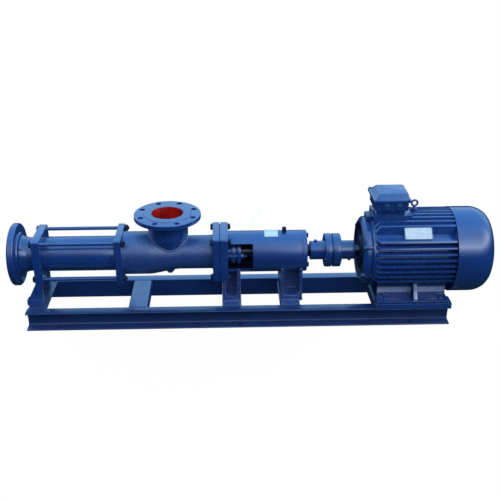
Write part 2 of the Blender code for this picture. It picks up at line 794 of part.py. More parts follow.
def motor_frame():
    """Finned motor frame with its terminal-box seat, eye-bolt boss and the nameplate's sloping seat."""
    made = prism("motor_frame", "X", FRAME_X[0], FRAME_X[1], frame_outline())
    start = FRAME_X[0]
    taper = [(start - 1.0, END_RING_R - 1.0), (start + FIN_TAPER_L, TOP_FIN_R + 2.0),
             (start + FIN_TAPER_L, TOP_FIN_R + 30.0), (start - 1.0, TOP_FIN_R + 30.0)]
    cut(made, turned("taper", "X", taper, (0.0, AXIS_Z), 48))
    join(made, drum("end_ring", "X", start, start + 6.0, END_RING_R, (0.0, AXIS_Z), 48))
    join(made, block("seat", SEAT_X, (-SEAT_HALF_Y, SEAT_HALF_Y), (AXIS_Z + 80.0, SEAT_Z)))
    join(made, drum("boss", "Z", AXIS_Z + 100.0, EYE_SEAT_Z, 11.0, (EYE_X, 0.0), 16))
    top_y, top_z = PLATE_TOP
    foot_y, foot_z = PLATE_FOOT
    wedge = ((-top_y, top_z), (-foot_y, foot_z), (-foot_y + 1.0, foot_z - 6.0), (-top_y + 6.0, foot_z - 6.0),
             (-top_y + 6.0, top_z - 4.0))
    join(made, prism("plate_seat", "X", PLATE_SEAT_X[0], PLATE_SEAT_X[1], wedge))
    cut(made, drum("bore", "X", FRAME_X[0] - 5.0, FRAME_X[1] + 5.0, MOTOR_SHAFT_R + 5.0,
                   (0.0, AXIS_Z)))
    return finish(made, blue_paint())


def packer(name, side):
    """Flat packing strip between a rail and a motor foot."""
    ys = sorted((side * PACKER_Y[0], side * PACKER_Y[1]))
    zs = (CHANNEL_H + GAP, MOTOR_FOOT_Z - GAP)
    return finish(block(name, PACKER_X, ys, zs), blue_paint())


def drive_end_shield():
    """End shield at the coupling side: recessed face inside a deep sloping rim with four lugs."""
    face, back = SHIELD_X
    rim = SHIELD_R
    lip = SHIELD_FACE_R
    bore = MOTOR_SHAFT_R + 0.8
    profile = [(face, bore), (face, 40.0), (face + 3.0, 44.0), (face + 14.0, 50.0),
               (face + 14.0, lip - 13.0), (face + 4.0, lip - 8.0), (face + 1.0, lip - 5.0),
               (face + 1.0, lip), (face + 8.0, rim - 3.0), (face + 12.0, rim), (back - 10.0, rim),
               (back - 9.0, rim - 3.0), (back - 7.0, rim - 3.0), (back - 6.0, END_RING_R),
               (back, END_RING_R), (back, bore)]
    made = turned("drive_end_shield", "X", profile, (0.0, AXIS_Z), 48)
    for degrees in SHIELD_LUG_ANGLES:
        angle = math.radians(degrees)
        y = SHIELD_LUG_AT * math.cos(angle)
        z = AXIS_Z + SHIELD_LUG_AT * math.sin(angle)
        join(made, drum("lug", "X", face + 8.0, back - 0.5, 12.0, (y, z), 16))
    join(made, block("top_lug", (face + 15.5, back - 0.5), (-24.0, 24.0), (AXIS_Z + 100.0, SEAT_Z - 11.5)))
    return finish(made, blue_paint())


def rear_end_shield():
    """End shield at the fan side; its four lugs carry the cowl."""
    start, end = REAR_SHIELD_X
    bore = MOTOR_SHAFT_R + 0.8
    profile = [(start, bore), (start, 110.0), (start + 14.0, 110.0), (end - 6.0, 80.0), (end, 44.0),
               (end, bore)]
    made = turned("rear_end_shield", "X", profile, (0.0, AXIS_Z))
    lug_sides = 16
    cowl_flat = (COWL_R - COWL_WALL) * math.cos(math.pi / COWL_SIDES)
    lug_r = (cowl_flat - GAP - COWL_LUG_AT) / math.cos(math.pi / lug_sides)
    for i in range(4):
        angle = math.radians(45.0 + 90.0 * i)
        centre = (COWL_LUG_AT * math.cos(angle), AXIS_Z + COWL_LUG_AT * math.sin(angle))
        join(made, drum("lug", "X", start + 6.0, start + 24.0, lug_r, centre, lug_sides))
    return finish(made, blue_paint())


def shoulder(grow):
    """Profile of the cowl's rounded shoulder from its end back to its side, moved out by grow."""
    start = TAIL_X - COWL_SHOULDER_L
    centre_r = COWL_R - COWL_SHOULDER_R
    points = []
    for a, b in arc((0.0, 0.0), 1.0, 0.0, 90.0, 6):
        points.append((start + (COWL_SHOULDER_L + grow) * a, centre_r + (COWL_SHOULDER_R + grow) * b))
    return points


def fan_cowl():
    """Sheet cowl with a large rounded shoulder and air slots in its end."""
    start, end = COWL_X
    inner = shoulder(-COWL_WALL)
    outer = shoulder(0.0)
    profile = [(end - COWL_WALL, 0.0)] + inner + [(start, COWL_R - COWL_WALL), (start, COWL_R)]
    profile += outer[::-1] + [(end, 0.0)]
    made = turned("fan_cowl", "X", profile, (0.0, AXIS_Z), COWL_SIDES)
    for i in range(-3, 4):
        offset = 22.0 * i
        half = math.sqrt(86.0 ** 2 - offset ** 2)
        slot = block("slot", (end - 8.0, end + 5.0), (-half, half),
                     (AXIS_Z + offset - 5.0, AXIS_Z + offset + 5.0))
        cut(made, slot)
    return finish(made, blue_paint())


def terminal_box():
    """Terminal box on its narrower neck, with two cable entries on the viewer's side."""
    made = bevelled_block("terminal_box", BOX_X, (-BOX_HALF_Y, BOX_HALF_Y), BOX_Z, 3.0)
    neck_x = (BOX_X[0] + 7.0, BOX_X[1] - 7.0)
    neck_y = SEAT_HALF_Y - 2.0
    join(made, block("neck", neck_x, (-neck_y, neck_y), (SEAT_Z + GAP, BOX_Z[0] + 5.0)))
    for x in (420.0, 459.0):
        entry = drum("entry", "Y", -BOX_HALF_Y - 5.0, -BOX_HALF_Y + 5.0, 12.5, (x, BOX_Z[0] + 15.0), 20)
        join(made, entry)
    return finish(made, blue_paint())


def terminal_box_lid():
    """Lid with a raised panel whose sides slope."""
    made = bevelled_block("terminal_box_lid", LID_X, (-LID_HALF_Y, LID_HALF_Y), LID_Z, 2.5)
    top = LID_PANEL_TOP_Z
    slopes = ((LID_Z[0] + 0.5, 6.0, 5.0, 5.0), (LID_Z[1], 6.0, 5.0, 5.0), (top - 1.5, 20.0, 6.5, 18.0),
              (top, 22.0, 8.0, 20.0))

    def build(bm):
        rings = []
        for z, left, right, side in slopes:
            xs = (LID_X[0] + left, LID_X[1] - right)
            y = LID_HALF_Y - side
            places = ((xs[0], -y), (xs[1], -y), (xs[1], y), (xs[0], y))
            rings.append([bm.verts.new((a, b, z)) for a, b in places])
        bm.faces.new(rings[0])
        bm.faces.new(rings[-1])
        for first, second in zip(rings, rings[1:]):
            for i in range(4):
                j = (i + 1) % 4
                bm.faces.new((first[i], first[j], second[j], second[i]))
    join(made, mesh_object("panel", build))
    return finish(made, blue_paint())


def eye_bolt():
    """Lifting eye on top of the motor."""
    seat = EYE_SEAT_Z + GAP
    foot_top = EYE_Z - EYE_RING_R + 0.5
    made = turned("eye_bolt", "Z", [(seat, 0.0), (seat, 8.0), (seat + 3.0, 8.0), (foot_top, 4.0),
                                    (foot_top, 0.0)], (EYE_X, 0.0), 16)
    sides = 8
    steps = 20

    def build(bm):
        rings = []
        for i in range(steps):
            turn = 2 * math.pi * i / steps
            ring = []
            for j in range(sides):
                roll = 2 * math.pi * j / sides
                reach = EYE_RING_R + EYE_WIRE_R * math.cos(roll)
                ring.append(bm.verts.new((EYE_X + reach * math.cos(turn), EYE_WIRE_R * math.sin(roll),
                                          EYE_Z + reach * math.sin(turn))))
            rings.append(ring)
        for i in range(steps):
            first = rings[i]
            second = rings[(i + 1) % steps]
            for j in range(sides):
                k = (j + 1) % sides
                bm.faces.new((first[j], first[k], second[k], second[j]))
    join(made, mesh_object("ring", build))
    return finish(made, blue_paint())


def motor_nameplate():
    """Bare plate on its sloping seat on the motor frame."""
    top = (-PLATE_TOP[0], PLATE_TOP[1])
    foot = (-PLATE_FOOT[0], PLATE_FOOT[1])
    run = (foot[0] - top[0], foot[1] - top[1])
    length = math.hypot(*run)
    out = (-abs(run[1]) / length, abs(run[0]) / length)
    outline = []
    for share, lift in ((0.02, GAP), (0.98, GAP), (0.98, 1.8), (0.02, 1.8)):
        outline.append((top[0] + run[0] * share + out[0] * lift, top[1] + run[1] * share + out[1] * lift))
    return finish(prism("motor_nameplate", "X", PLATE_X[0], PLATE_X[1], outline), pale_aluminium())


def build_frame():
    rail("rail_front", -1)
    rail("rail_rear", 1)
    for number, start in enumerate(CROSS_STARTS, 1):
        crossmember(f"crossmember_{number}", start, number == 1)
    packer("motor_packer_front", -1)
    packer("motor_packer_rear", 1)


def build_pump():
    discharge_body()
    stator_tube()
    stator_lining()
    for number, (y, z) in enumerate(corners(), 1):
        tie_rod(f"tie_rod_{number}", y, z)
        housing_bolt(f"housing_bolt_{number}", y, z)
    suction_plate("suction_plate", PLATE_2_X, LINING_BORE_R + 4.0)
    suction_plate("suction_end_plate", PLATE_3_X, SHAFT_R + 0.8)
    suction_chamber()
    inlet_nozzle()
    drain_plug()
    bearing_housing()
    bearing_leg("bearing_leg_front", FRONT_LEG_X)
    bearing_leg("bearing_leg_rear", REAR_LEG_X)
    packing_gland()
    bearing("bearing_inner", (20.0, 50.0))
    bearing("bearing_outer", (118.0, 148.0))
    bearing_cover()
    grease_nipple()
    pump_nameplate()


def build_drive_train():
    screw_rotor()
    connecting_rod()
    drive_shaft()
    coupling_half("coupling_half_pump", HUB_PUMP_X, COUPLING_SPLIT_X - 1.0, SHAFT_R)
    coupling_half("coupling_half_motor", HUB_MOTOR_X, COUPLING_SPLIT_X + 1.0, MOTOR_SHAFT_R)
    motor_shaft()
    cooling_fan()


def build_motor():
    motor_frame()
    motor_foot("motor_foot_near", -1)
    motor_foot("motor_foot_far", 1)
    drive_end_shield()
    rear_end_shield()
    fan_cowl()
    terminal_box()
    terminal_box_lid()
    eye_bolt()
    motor_nameplate()


def main():
    for existing in list(bpy.data.objects):
        bpy.data.objects.remove(existing, do_unlink=True)
    build_frame()
    build_pump()
    build_drive_train()
    build_motor()


main()
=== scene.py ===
"""Looks of the single-screw pump set: finishes, rounded edges, fasteners, threads and welds.

Most sizes are worked out from the boxes of the solids that the finished pieces stand for. Lengths are
in millimetres along the frame's axes, and MM turns them into metres. X runs along the pump's axis, Z
is up and the photo looks along +Y.
"""

import math

import bmesh
import bpy
from mathutils import Matrix, Vector


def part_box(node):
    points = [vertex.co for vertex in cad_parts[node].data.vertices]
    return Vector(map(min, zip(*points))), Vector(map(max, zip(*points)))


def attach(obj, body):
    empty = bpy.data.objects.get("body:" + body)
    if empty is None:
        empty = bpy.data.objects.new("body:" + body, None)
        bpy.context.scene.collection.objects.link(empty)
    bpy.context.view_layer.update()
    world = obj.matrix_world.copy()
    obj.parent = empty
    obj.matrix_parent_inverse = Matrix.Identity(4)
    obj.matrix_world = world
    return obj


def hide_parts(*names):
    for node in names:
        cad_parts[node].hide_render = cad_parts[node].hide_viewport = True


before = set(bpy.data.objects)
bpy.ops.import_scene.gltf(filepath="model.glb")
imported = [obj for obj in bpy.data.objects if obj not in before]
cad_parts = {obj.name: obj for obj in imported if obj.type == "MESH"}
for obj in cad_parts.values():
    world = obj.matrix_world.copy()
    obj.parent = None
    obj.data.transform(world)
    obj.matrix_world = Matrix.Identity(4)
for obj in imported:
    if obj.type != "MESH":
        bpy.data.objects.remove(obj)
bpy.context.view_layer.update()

MM = 0.001
GAP = 0.3
AXIS_Z = 215.0
AXIS = (0.0, AXIS_Z)

# How many sides a round shape has, and the angle up to which its faces are shaded smooth
ROUND = 128
FINE = 96
MEDIUM = 48
SMALL = 24
SMOOTH_ANGLE = math.radians(32.0)

UNIT = "pump_unit"
TRAIN = "drive_train"

# Colours of the finishes, linear
BLACK = (0.0, 0.0, 0.0, 1.0)
DEEP_BLUE = (0.010, 0.046, 0.200, 1.0)
BRIGHT_BLUE = (0.014, 0.062, 0.260, 1.0)
DUST_AND_SHEEN_BLUE = (0.13, 0.19, 0.30, 1.0)
PALE_DUST_AND_LIGHT = (0.34, 0.37, 0.54, 1.0)
EDGE_BLUE = (0.09, 0.17, 0.38, 1.0)
RUST = (0.075, 0.035, 0.05, 1.0)
PRIMER_REDS = ((0.30, 0.004, 0.003, 1.0), (0.62, 0.010, 0.004, 1.0))
GRIME_AND_SHADE_BLUES = ((0.003, 0.009, 0.034, 1.0), (0.009, 0.024, 0.080, 1.0))
STEEL_SHADES = ((0.50, 0.50, 0.52, 1.0), (0.27, 0.26, 0.26, 1.0))
OILED_SHADES = ((0.110, 0.115, 0.130, 1.0), (0.030, 0.032, 0.040, 1.0))
PLATE_SHADES = ((0.95, 0.91, 0.82, 1.0), (0.52, 0.53, 0.52, 1.0))
RUBBER_BLACKS = ((0.012, 0.012, 0.013, 1.0), (0.035, 0.034, 0.033, 1.0))
PLASTIC_BLACKS = ((0.015, 0.015, 0.017, 1.0), (0.04, 0.04, 0.045, 1.0))


class Span:
    """A CAD node's box in millimetres."""

    def __init__(self, node):
        low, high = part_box(node)
        self.x0, self.y0, self.z0 = (value / MM for value in low)
        self.x1, self.y1, self.z1 = (value / MM for value in high)
        self.xs, self.ys, self.zs = (self.x0, self.x1), (self.y0, self.y1), (self.z0, self.z1)

    def radius(self):
        """Outer radius of a node that is turned about the pump's axis."""
        return (self.z1 - self.z0) / 2

    def middle(self, axis):
        """Where a line along an axis passes through the box's middle."""
        middles = [sum(ends) / 2 for ends in (self.xs, self.ys, self.zs)]
        del middles["XYZ".index(axis)]
        return tuple(middles)


# Outlines

def fillet(points, closed=False, steps=5):
    """Round each (a, b, radius) corner of an outline with an arc; a corner without a radius stays."""
    rounded = []
    count = len(points)
    for i, point in enumerate(points):
        here = Vector(point[:2])
        radius = point[2] if len(point) > 2 else 0.0
        if radius == 0.0 or (not closed and i in (0, count - 1)):
            rounded.append(tuple(here))
            continue
        back = Vector(points[i - 1][:2]) - here
        ahead = Vector(points[(i + 1) % count][:2]) - here
        half = back.angle(ahead) / 2
        reach = min(radius / math.tan(half), 0.49 * back.length, 0.49 * ahead.length)
        radius = reach * math.tan(half)
        centre = here + (back.normalized() + ahead.normalized()).normalized() * (radius / math.sin(half))
        first = here + back.normalized() * reach - centre
        last = here + ahead.normalized() * reach - centre
        start = math.atan2(first.y, first.x)
        turn = (math.atan2(last.y, last.x) - start + math.pi) % (2 * math.pi) - math.pi
        for step in range(steps + 1):
            angle = start + turn * step / steps
            rounded.append((centre.x + radius * math.cos(angle), centre.y + radius * math.sin(angle)))
    return rounded


def rectangle(a0, a1, b0, b1, radius=0.0):
    """A rectangle's outline with rounded corners."""
    corners = ((a0, b0, radius), (a1, b0, radius), (a1, b1, radius), (a0, b1, radius))
    return fillet(corners, closed=True)


def circle(radius, count, centre=(0.0, 0.0), turn=0.0):
    """Points round a circle."""
    points = []
    for i in range(count):
        angle = turn + 2 * math.pi * i / count
        points.append((centre[0] + radius * math.cos(angle), centre[1] + radius * math.sin(angle)))
    return points


def polar(radius, degrees):
    """The y and z of a point at an angle round the pump's axis."""
    angle = math.radians(degrees)
    return (radius * math.cos(angle), AXIS_Z + radius * math.sin(angle))


def off_axis(spot):
    """How far a point is from the pump's axis."""
    return math.hypot(spot.y, spot.z - AXIS_Z)


def place(axis, along, across, up):
    """Turn a place along an axis and across it into x, y, z."""
    if axis == "X":
        return (along, across, up)
    if axis == "Y":
        return (across, along, up)
    return (across, up, along)


# Closed shells, added to a bmesh in millimetres

def add_rings(bm, rings, capped=True, looped=False):
    """Join rings of points into a closed shell."""
    made = [[bm.verts.new(point) for point in ring] for ring in rings]
    count = len(made[0])
    pairs = list(zip(made, made[1:]))
    if looped:
        pairs.append((made[-1], made[0]))
    faces = []
    for first, second in pairs:
        for i in range(count):
            j = (i + 1) % count
            faces.append(bm.faces.new((first[i], first[j], second[j], second[i])))
    if capped and not looped:
        faces.append(bm.faces.new(made[0]))
        faces.append(bm.faces.new(made[-1]))
    return faces


def add_turned(bm, axis, profile, centre, sides=FINE):
    """Turn a profile of (along, radius) points; one that starts or ends off the axis closes on itself."""
    solid = profile[0][1] == 0 and profile[-1][1] == 0
    inner = profile[1:-1] if solid else profile
    rings = []
    for along, radius in inner:
        points = circle(radius, sides, centre, math.pi / sides)
        rings.append([place(axis, along, a, b) for a, b in points])
    return add_rings(bm, rings, capped=solid, looped=not solid)


def add_prism(bm, axis, start, end, outline, bevel=0.0, segments=3):
    """Extrude an outline along an axis and round the edges of its two ends."""
    rings = [[place(axis, along, a, b) for a, b in outline] for along in (start, end)]
    faces = add_rings(bm, rings)
    if bevel:
        edges = list({edge for face in faces[-2:] for edge in face.edges})
        bmesh.ops.bevel(bm, geom=edges, offset=bevel, segments=segments, affect="EDGES", profile=0.5,
                        clamp_overlap=True)


def add_block(bm, xs, ys, zs, corner=1.0, bevel=1.0):
    """A box with all its edges rounded."""
    add_prism(bm, "Z", *zs, rectangle(*xs, *ys, corner), min(bevel, 0.9 * corner))


def add_drum(bm, axis, start, end, radius, centre, sides=MEDIUM, bevel=0.0):
    """A cylinder whose rims are rounded."""
    low, high = sorted((start, end))
    soft = min(bevel, (high - low) / 2.2, radius / 2.2)
    profile = fillet(((low, 0.0), (low, radius, soft), (high, radius, soft), (high, 0.0)), steps=3)
    add_turned(bm, axis, profile, centre, sides)


def add_hex(bm, axis, start, end, flats, centre, turn=0.0):
    """A hexagon head or nut with the curved chamfers of a turned blank."""
    face_r = 0.475 * flats
    low, high = sorted((start, end))
    rings = [[], [], [], []]
    for i in range(MEDIUM):
        angle = 2 * math.pi * i / MEDIUM
        off = (angle + math.pi / 6) % (math.pi / 3) - math.pi / 6
        corner = flats / 2 / math.cos(off)
        drop = (corner - face_r) * math.tan(math.radians(30.0))
        levels = ((low, face_r), (low + drop, corner), (high - drop, corner), (high, face_r))
        for ring, (along, radius) in zip(rings, levels):
            a = centre[0] + radius * math.cos(angle + turn)
            b = centre[1] + radius * math.sin(angle + turn)
            ring.append(place(axis, along, a, b))
    add_rings(bm, rings)


def add_thread(bm, axis, start, end, radius, centre, pitch=1.75):
    """A threaded length with a chamfered free end."""
    low, high = sorted((start, end))
    depth = 0.55 * pitch
    profile = [(low, 0.0), (low, radius - depth)]
    along = low + pitch / 2
    while along < high - pitch / 2:
        profile += [(along, radius), (along + pitch / 8, radius), (along + pitch / 2, radius - depth)]
        along += pitch
    profile += [(high, radius - depth), (high, 0.0)]
    add_turned(bm, axis, profile, centre, SMALL)


def add_bead(bm, points, radius, ripple=0.0, closed=False, sides=8):
    """Sweep a round weld bead along a line of points."""
    rings = []
    count = len(points)
    for i, point in enumerate(points):
        before = Vector(points[i - 1] if closed or i else points[i])
        after = Vector(points[(i + 1) % count] if closed or i < count - 1 else points[i])
        along = (after - before).normalized()
        side = along.cross(Vector((0.0, 0.0, 1.0)))
        side = side.normalized() if side.length > 0.1 else Vector((0.0, 1.0, 0.0))
        over = side.cross(along)
        reach = radius * (1.0 + ripple * math.sin(2.4 * i))
        ring = []
        for j in range(sides):
            turn = 2 * math.pi * j / sides
            ring.append(Vector(point) + side * reach * math.cos(turn) + over * reach * math.sin(turn))
        rings.append(ring)
    add_rings(bm, rings, capped=not closed, looped=closed)


def add_dome(bm, spot):
    """Round head of a drive screw."""
    bmesh.ops.create_uvsphere(bm, u_segments=12, v_segments=8, radius=1.5,
                              matrix=Matrix.Translation(spot))


def line(start, end, count):
    """Evenly spaced points from start to end."""
    a = Vector(start)
    b = Vector(end)
    return [tuple(a.lerp(b, i / (count - 1))) for i in range(count)]


# Pieces

def linked(name, data):
    """An object of some data, in the scene."""
    made = bpy.data.objects.new(name, data)
    bpy.context.scene.collection.objects.link(made)
    return made


def built(name, *builders):
    """Make an object in metres from functions that each add shells in millimetres to one bmesh."""
    bm = bmesh.new()
    for builder in builders:
        builder(bm)
    bmesh.ops.recalc_face_normals(bm, faces=bm.faces)
    bmesh.ops.scale(bm, vec=(MM, MM, MM), verts=bm.verts)
    mesh = bpy.data.meshes.new(name)
    bm.to_mesh(mesh)
    bm.free()
    return linked(name, mesh)


def drum_cutters(axis, start, end, radius, centres, sides=MEDIUM):
    """Cylinders to cut holes with, one at each centre."""
    return [built("hole", lambda bm, centre=centre: add_drum(bm, axis, start, end, radius, centre, sides))
            for centre in centres]


def carve(piece, *cutters):
    """Cut the cutters out of a piece and remove them."""
    for cutter in cutters:
        step = piece.modifiers.new("carve", "BOOLEAN")
        step.operation = "DIFFERENCE"
        step.solver = "EXACT"
        step.object = cutter
    bpy.context.view_layer.update()
    graph = bpy.context.evaluated_depsgraph_get()
    mesh = bpy.data.meshes.new_from_object(piece.evaluated_get(graph))
    piece.modifiers.clear()
    piece.data = mesh
    for cutter in cutters:
        bpy.data.objects.remove(cutter, do_unlink=True)


def soften(piece, width, segments=2, angle=30.0):
    """Round the sharp edges of a piece."""
    bm = bmesh.new()
    bm.from_mesh(piece.data)
    bmesh.ops.remove_doubles(bm, verts=bm.verts, dist=0.004 * MM)
    bmesh.ops.dissolve_limit(bm, angle_limit=math.radians(0.8), verts=bm.verts, edges=bm.edges)
    edges = []
    for edge in bm.edges:
        if len(edge.link_faces) == 2 and edge.calc_face_angle() > math.radians(angle):
            edges.append(edge)
    bmesh.ops.bevel(bm, geom=edges, offset=width * MM, segments=segments, affect="EDGES", profile=0.5,
                    clamp_overlap=True)
    bm.to_mesh(piece.data)
    bm.free()


def refined(node, width, segments=2, angle=30.0):
    """A copy of a CAD node whose sharp edges are rounded."""
    made = linked(node + "_finished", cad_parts[node].data.copy())
    soften(made, width, segments, angle)
    return made


def dress(piece, material, body=UNIT, replaces=()):
    """Finish a piece: its material, its body and the nodes it stands for."""
    piece.data.materials.clear()
    piece.data.materials.append(material)
    piece.data.shade_smooth()
    piece.data.set_sharp_from_angle(angle=SMOOTH_ANGLE)
    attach(piece, body)
    if replaces:
        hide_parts(*replaces)


def finish(node, material, slot, *builders, body=UNIT, cutters=()):
    """Build the piece that stands for a node, cut it and dress it."""
    made = built(node + "_finished", *builders)
    if cutters:
        carve(made, *cutters)
    dress(made, material, body, [node])
    return made


def repaint(piece, material, chosen):
    """Give one more material to the faces whose centre, in millimetres, and normal are chosen."""
    piece.data.materials.append(material)
    last = len(piece.data.materials) - 1
    for face in piece.data.polygons:
        if chosen(face.center / MM, face.normal):
            face.material_index = last


# Materials

def add_node(tree, kind, inputs=None, **settings):
    """Add a shader node, setting or linking its inputs."""
    node = tree.nodes.new(kind)
    for key, value in settings.items():
        setattr(node, key, value)
    for key, value in (inputs or {}).items():
        if isinstance(value, bpy.types.NodeSocket):
            tree.links.new(value, node.inputs[key])
        else:
            node.inputs[key].default_value = value
    return node


def noise(tree, coords, scale, detail=3.0, roughness=0.55):
    """Noise between 0 and 1 with so many features a metre."""
    node = add_node(tree, "ShaderNodeTexNoise",
                    {"Vector": coords, "Scale": scale, "Detail": detail, "Roughness": roughness})
    return node.outputs["Fac"]


def remap(tree, value, low, high, to_low=0.0, to_high=1.0):
    """Stretch a value from one range to another and clamp it."""
    node = add_node(tree, "ShaderNodeMapRange",
                    {"Value": value, "From Min": low, "From Max": high, "To Min": to_low,
                     "To Max": to_high})
    return node.outputs["Result"]


def blend(tree, factor, first, second):
    """Mix two colours; the sockets of a colour mix are its first, seventh and eighth."""
    node = add_node(tree, "ShaderNodeMix", {0: factor, 6: first, 7: second}, data_type="RGBA")
    return node.outputs[2]


def multiply(tree, first, second):
    """Multiply two values."""
    return add_node(tree, "ShaderNodeMath", {0: first, 1: second}, operation="MULTIPLY").outputs[0]


def new_material(name):
    """A material with its tree, its shader and coordinates in metres."""
    material = bpy.data.materials.new(name)
    material.use_nodes = True
    tree = material.node_tree
    shader = tree.nodes["Principled BSDF"]
    coords = tree.nodes.new("ShaderNodeTexCoord").outputs["Object"]
    return material, tree, shader, coords


def stretched(tree, coords, scale):
    """Coordinates scaled by a different amount in each direction."""
    return add_node(tree, "ShaderNodeMapping", {"Vector": coords, "Scale": scale}).outputs["Vector"]


def surface(tree, shader, colour, roughness, levels=None):
    """Link the shader's colour and roughness, and set its other levels."""
    tree.links.new(colour, shader.inputs["Base Color"])
    tree.links.new(roughness, shader.inputs["Roughness"])
    for name, level in (levels or {}).items():
        shader.inputs[name].default_value = level


def bump(tree, shader, height, depth, normal=None):
    """Feed a height in millimetres of depth into the shader's normal."""
    inputs = {"Height": height, "Strength": 1.0, "Distance": depth * MM}
    if normal:
        inputs["Normal"] = normal
    node = add_node(tree, "ShaderNodeBump", inputs)
    for socket in ("Normal", "Coat Normal"):
        tree.links.new(node.outputs["Normal"], shader.inputs[socket])
    return node.outputs["Normal"]


def edge_mask(tree, radius, breakup):
    """How close a point is to an edge, from 0 to 1, broken up by a noise."""
    soft = add_node(tree, "ShaderNodeBevel", {"Radius": radius * MM}, samples=4).outputs["Normal"]
    flat = tree.nodes.new("ShaderNodeNewGeometry").outputs["Normal"]
    dot = add_node(tree, "ShaderNodeVectorMath", {0: soft, 1: flat}, operation="DOT_PRODUCT")
    return multiply(tree, remap(tree, dot.outputs["Value"], 0.995, 0.82), breakup)


def upward(tree, low, high):
    """How far a surface faces up, from 0 to 1."""
    normal = tree.nodes.new("ShaderNodeNewGeometry").outputs["Normal"]
    height = add_node(tree, "ShaderNodeSeparateXYZ", {"Vector": normal}).outputs["Z"]
    return remap(tree, height, low, high)


def painted_light_band(tree, coords, low, high):
    """Painted light: a pale stripe on an upright wall between two heights, from 0 to 1."""
    height = add_node(tree, "ShaderNodeSeparateXYZ", {"Vector": coords}).outputs["Z"]
    above = remap(tree, height, low * MM, (low + 2.0) * MM)
    below = remap(tree, height, (high + 2.0) * MM, (high - 4.0) * MM)
    light_breakup = remap(tree, noise(tree, coords, 70.0, 5.0), 0.25, 0.50, 0.55, 1.0)
    return multiply(tree, multiply(tree, above, below), light_breakup)


def blue_paint(name, gloss, grain, dust_and_sheen, specks=0.0, streaks=None, edges=0.35, coat=0.10, frost=0.0,
               lit_band=None, shade=0.0, edge_wear_and_sheen_colour=EDGE_BLUE, edge_r=1.6):
    """Deep blue paint: uneven coat, paler on what faces up, paler edges, and the casting's grain.

    What faces up is paled partly by dusting and partly by a painted sheen of light from above; the edges
    within edge_r are paled partly by rubbing and partly as a painted highlight, and worn is their colour.
    Grain is its scale and depth. Frost adds pale flecks, band is the pair of heights of a painted stripe
    of light on an upright wall, and shade darkens the paint as painted shade and dulls its coat.
    """
    material, tree, shader, coords = new_material(name)
    broad = noise(tree, coords, 9.0, 4.0)
    fine = noise(tree, coords, 140.0, 4.0)
    colour = blend(tree, remap(tree, broad, 0.35, 0.65), DEEP_BLUE, BRIGHT_BLUE)
    # Paler on what faces up: partly dusting, partly a painted sheen of light from above.
    dust_and_sheen_patches = multiply(tree, remap(tree, noise(tree, coords, 34.0, 5.0), 0.38, 0.68),
                       upward(tree, 0.25, 0.95))
    colour = blend(tree, multiply(tree, dust_and_sheen_patches, dust_and_sheen), colour, DUST_AND_SHEEN_BLUE)
    if shade:
        colour = blend(tree, shade, colour, BLACK)
    # Edges paled partly as rubbing and partly as a painted highlight.
    edge_wear_and_sheen = edge_mask(tree, edge_r, remap(tree, fine, 0.35, 0.7, 0.0, edges))
    colour = blend(tree, edge_wear_and_sheen, colour, edge_wear_and_sheen_colour)
    if specks:
        spots = remap(tree, noise(tree, coords, 210.0, 2.0), 0.66, 0.74, 0.0, specks)
        colour = blend(tree, spots, colour, RUST)
    if frost:
        flecks = remap(tree, noise(tree, coords, 260.0, 4.0, 0.7), 0.50, 0.68, 0.0, frost)
        colour = blend(tree, flecks, colour, PALE_DUST_AND_LIGHT)
    # A painted stripe of light on an upright wall between two heights.
    if lit_band:
        colour = blend(tree, painted_light_band(tree, coords, *lit_band), colour, PALE_DUST_AND_LIGHT)
    rough = remap(tree, noise(tree, coords, 55.0, 4.0), 0.3, 0.7, gloss - 0.06, gloss + 0.10)
    surface(tree, shader, colour, rough,
            {"IOR": 1.6, "Coat Weight": 1.0 - shade, "Coat IOR": 1.7, "Coat Roughness": coat})
    grain_scale, grain_depth = grain
    normal = bump(tree, shader, noise(tree, coords, grain_scale, 5.0, 0.65), grain_depth)
    if streaks:
        strokes = noise(tree, stretched(tree, coords, streaks), 1.0, 3.0)
        bump(tree, shader, strokes, 0.10, normal)
    return material


def red_primer():
    """Bright red primer, brushed round the bore."""
    material, tree, shader, coords = new_material("inlet_red_primer")
    strokes = noise(tree, stretched(tree, coords, (60.0, 60.0, 420.0)), 1.0, 3.0)
    patch = noise(tree, coords, 30.0, 3.0)
    surface(tree, shader, blend(tree, remap(tree, patch, 0.35, 0.65), *PRIMER_REDS),
            remap(tree, strokes, 0.3, 0.7, 0.34, 0.5), {"Specular IOR Level": 0.2})
    bump(tree, shader, strokes, 0.15)
    return material


def grime_and_shade_paint(name, gloss):
    """Dark mottled blue: oily dirt on bolts, and painted shade in recesses and on shaded faces."""
    material, tree, shader, coords = new_material(name)
    shade_and_grime = noise(tree, coords, 60.0, 5.0)
    surface(tree, shader, blend(tree, remap(tree, shade_and_grime, 0.35, 0.7), *GRIME_AND_SHADE_BLUES),
            remap(tree, shade_and_grime, 0.3, 0.7, gloss, gloss + 0.2), {"Specular IOR Level": 0.35})
    bump(tree, shader, noise(tree, coords, 500.0, 5.0, 0.65), 0.25)
    return material


def turned_steel(name, shades):
    """Machined steel with fine rings from the lathe and a little oil stain."""
    material, tree, shader, coords = new_material(name)
    rings = noise(tree, stretched(tree, coords, (2600.0, 12.0, 12.0)), 1.0, 2.0)
    stain = noise(tree, coords, 40.0, 4.0)
    surface(tree, shader, blend(tree, remap(tree, stain, 0.4, 0.7), *shades),
            remap(tree, rings, 0.3, 0.7, 0.22, 0.42), {"Metallic": 1.0})
    bump(tree, shader, rings, 0.02)
    return material


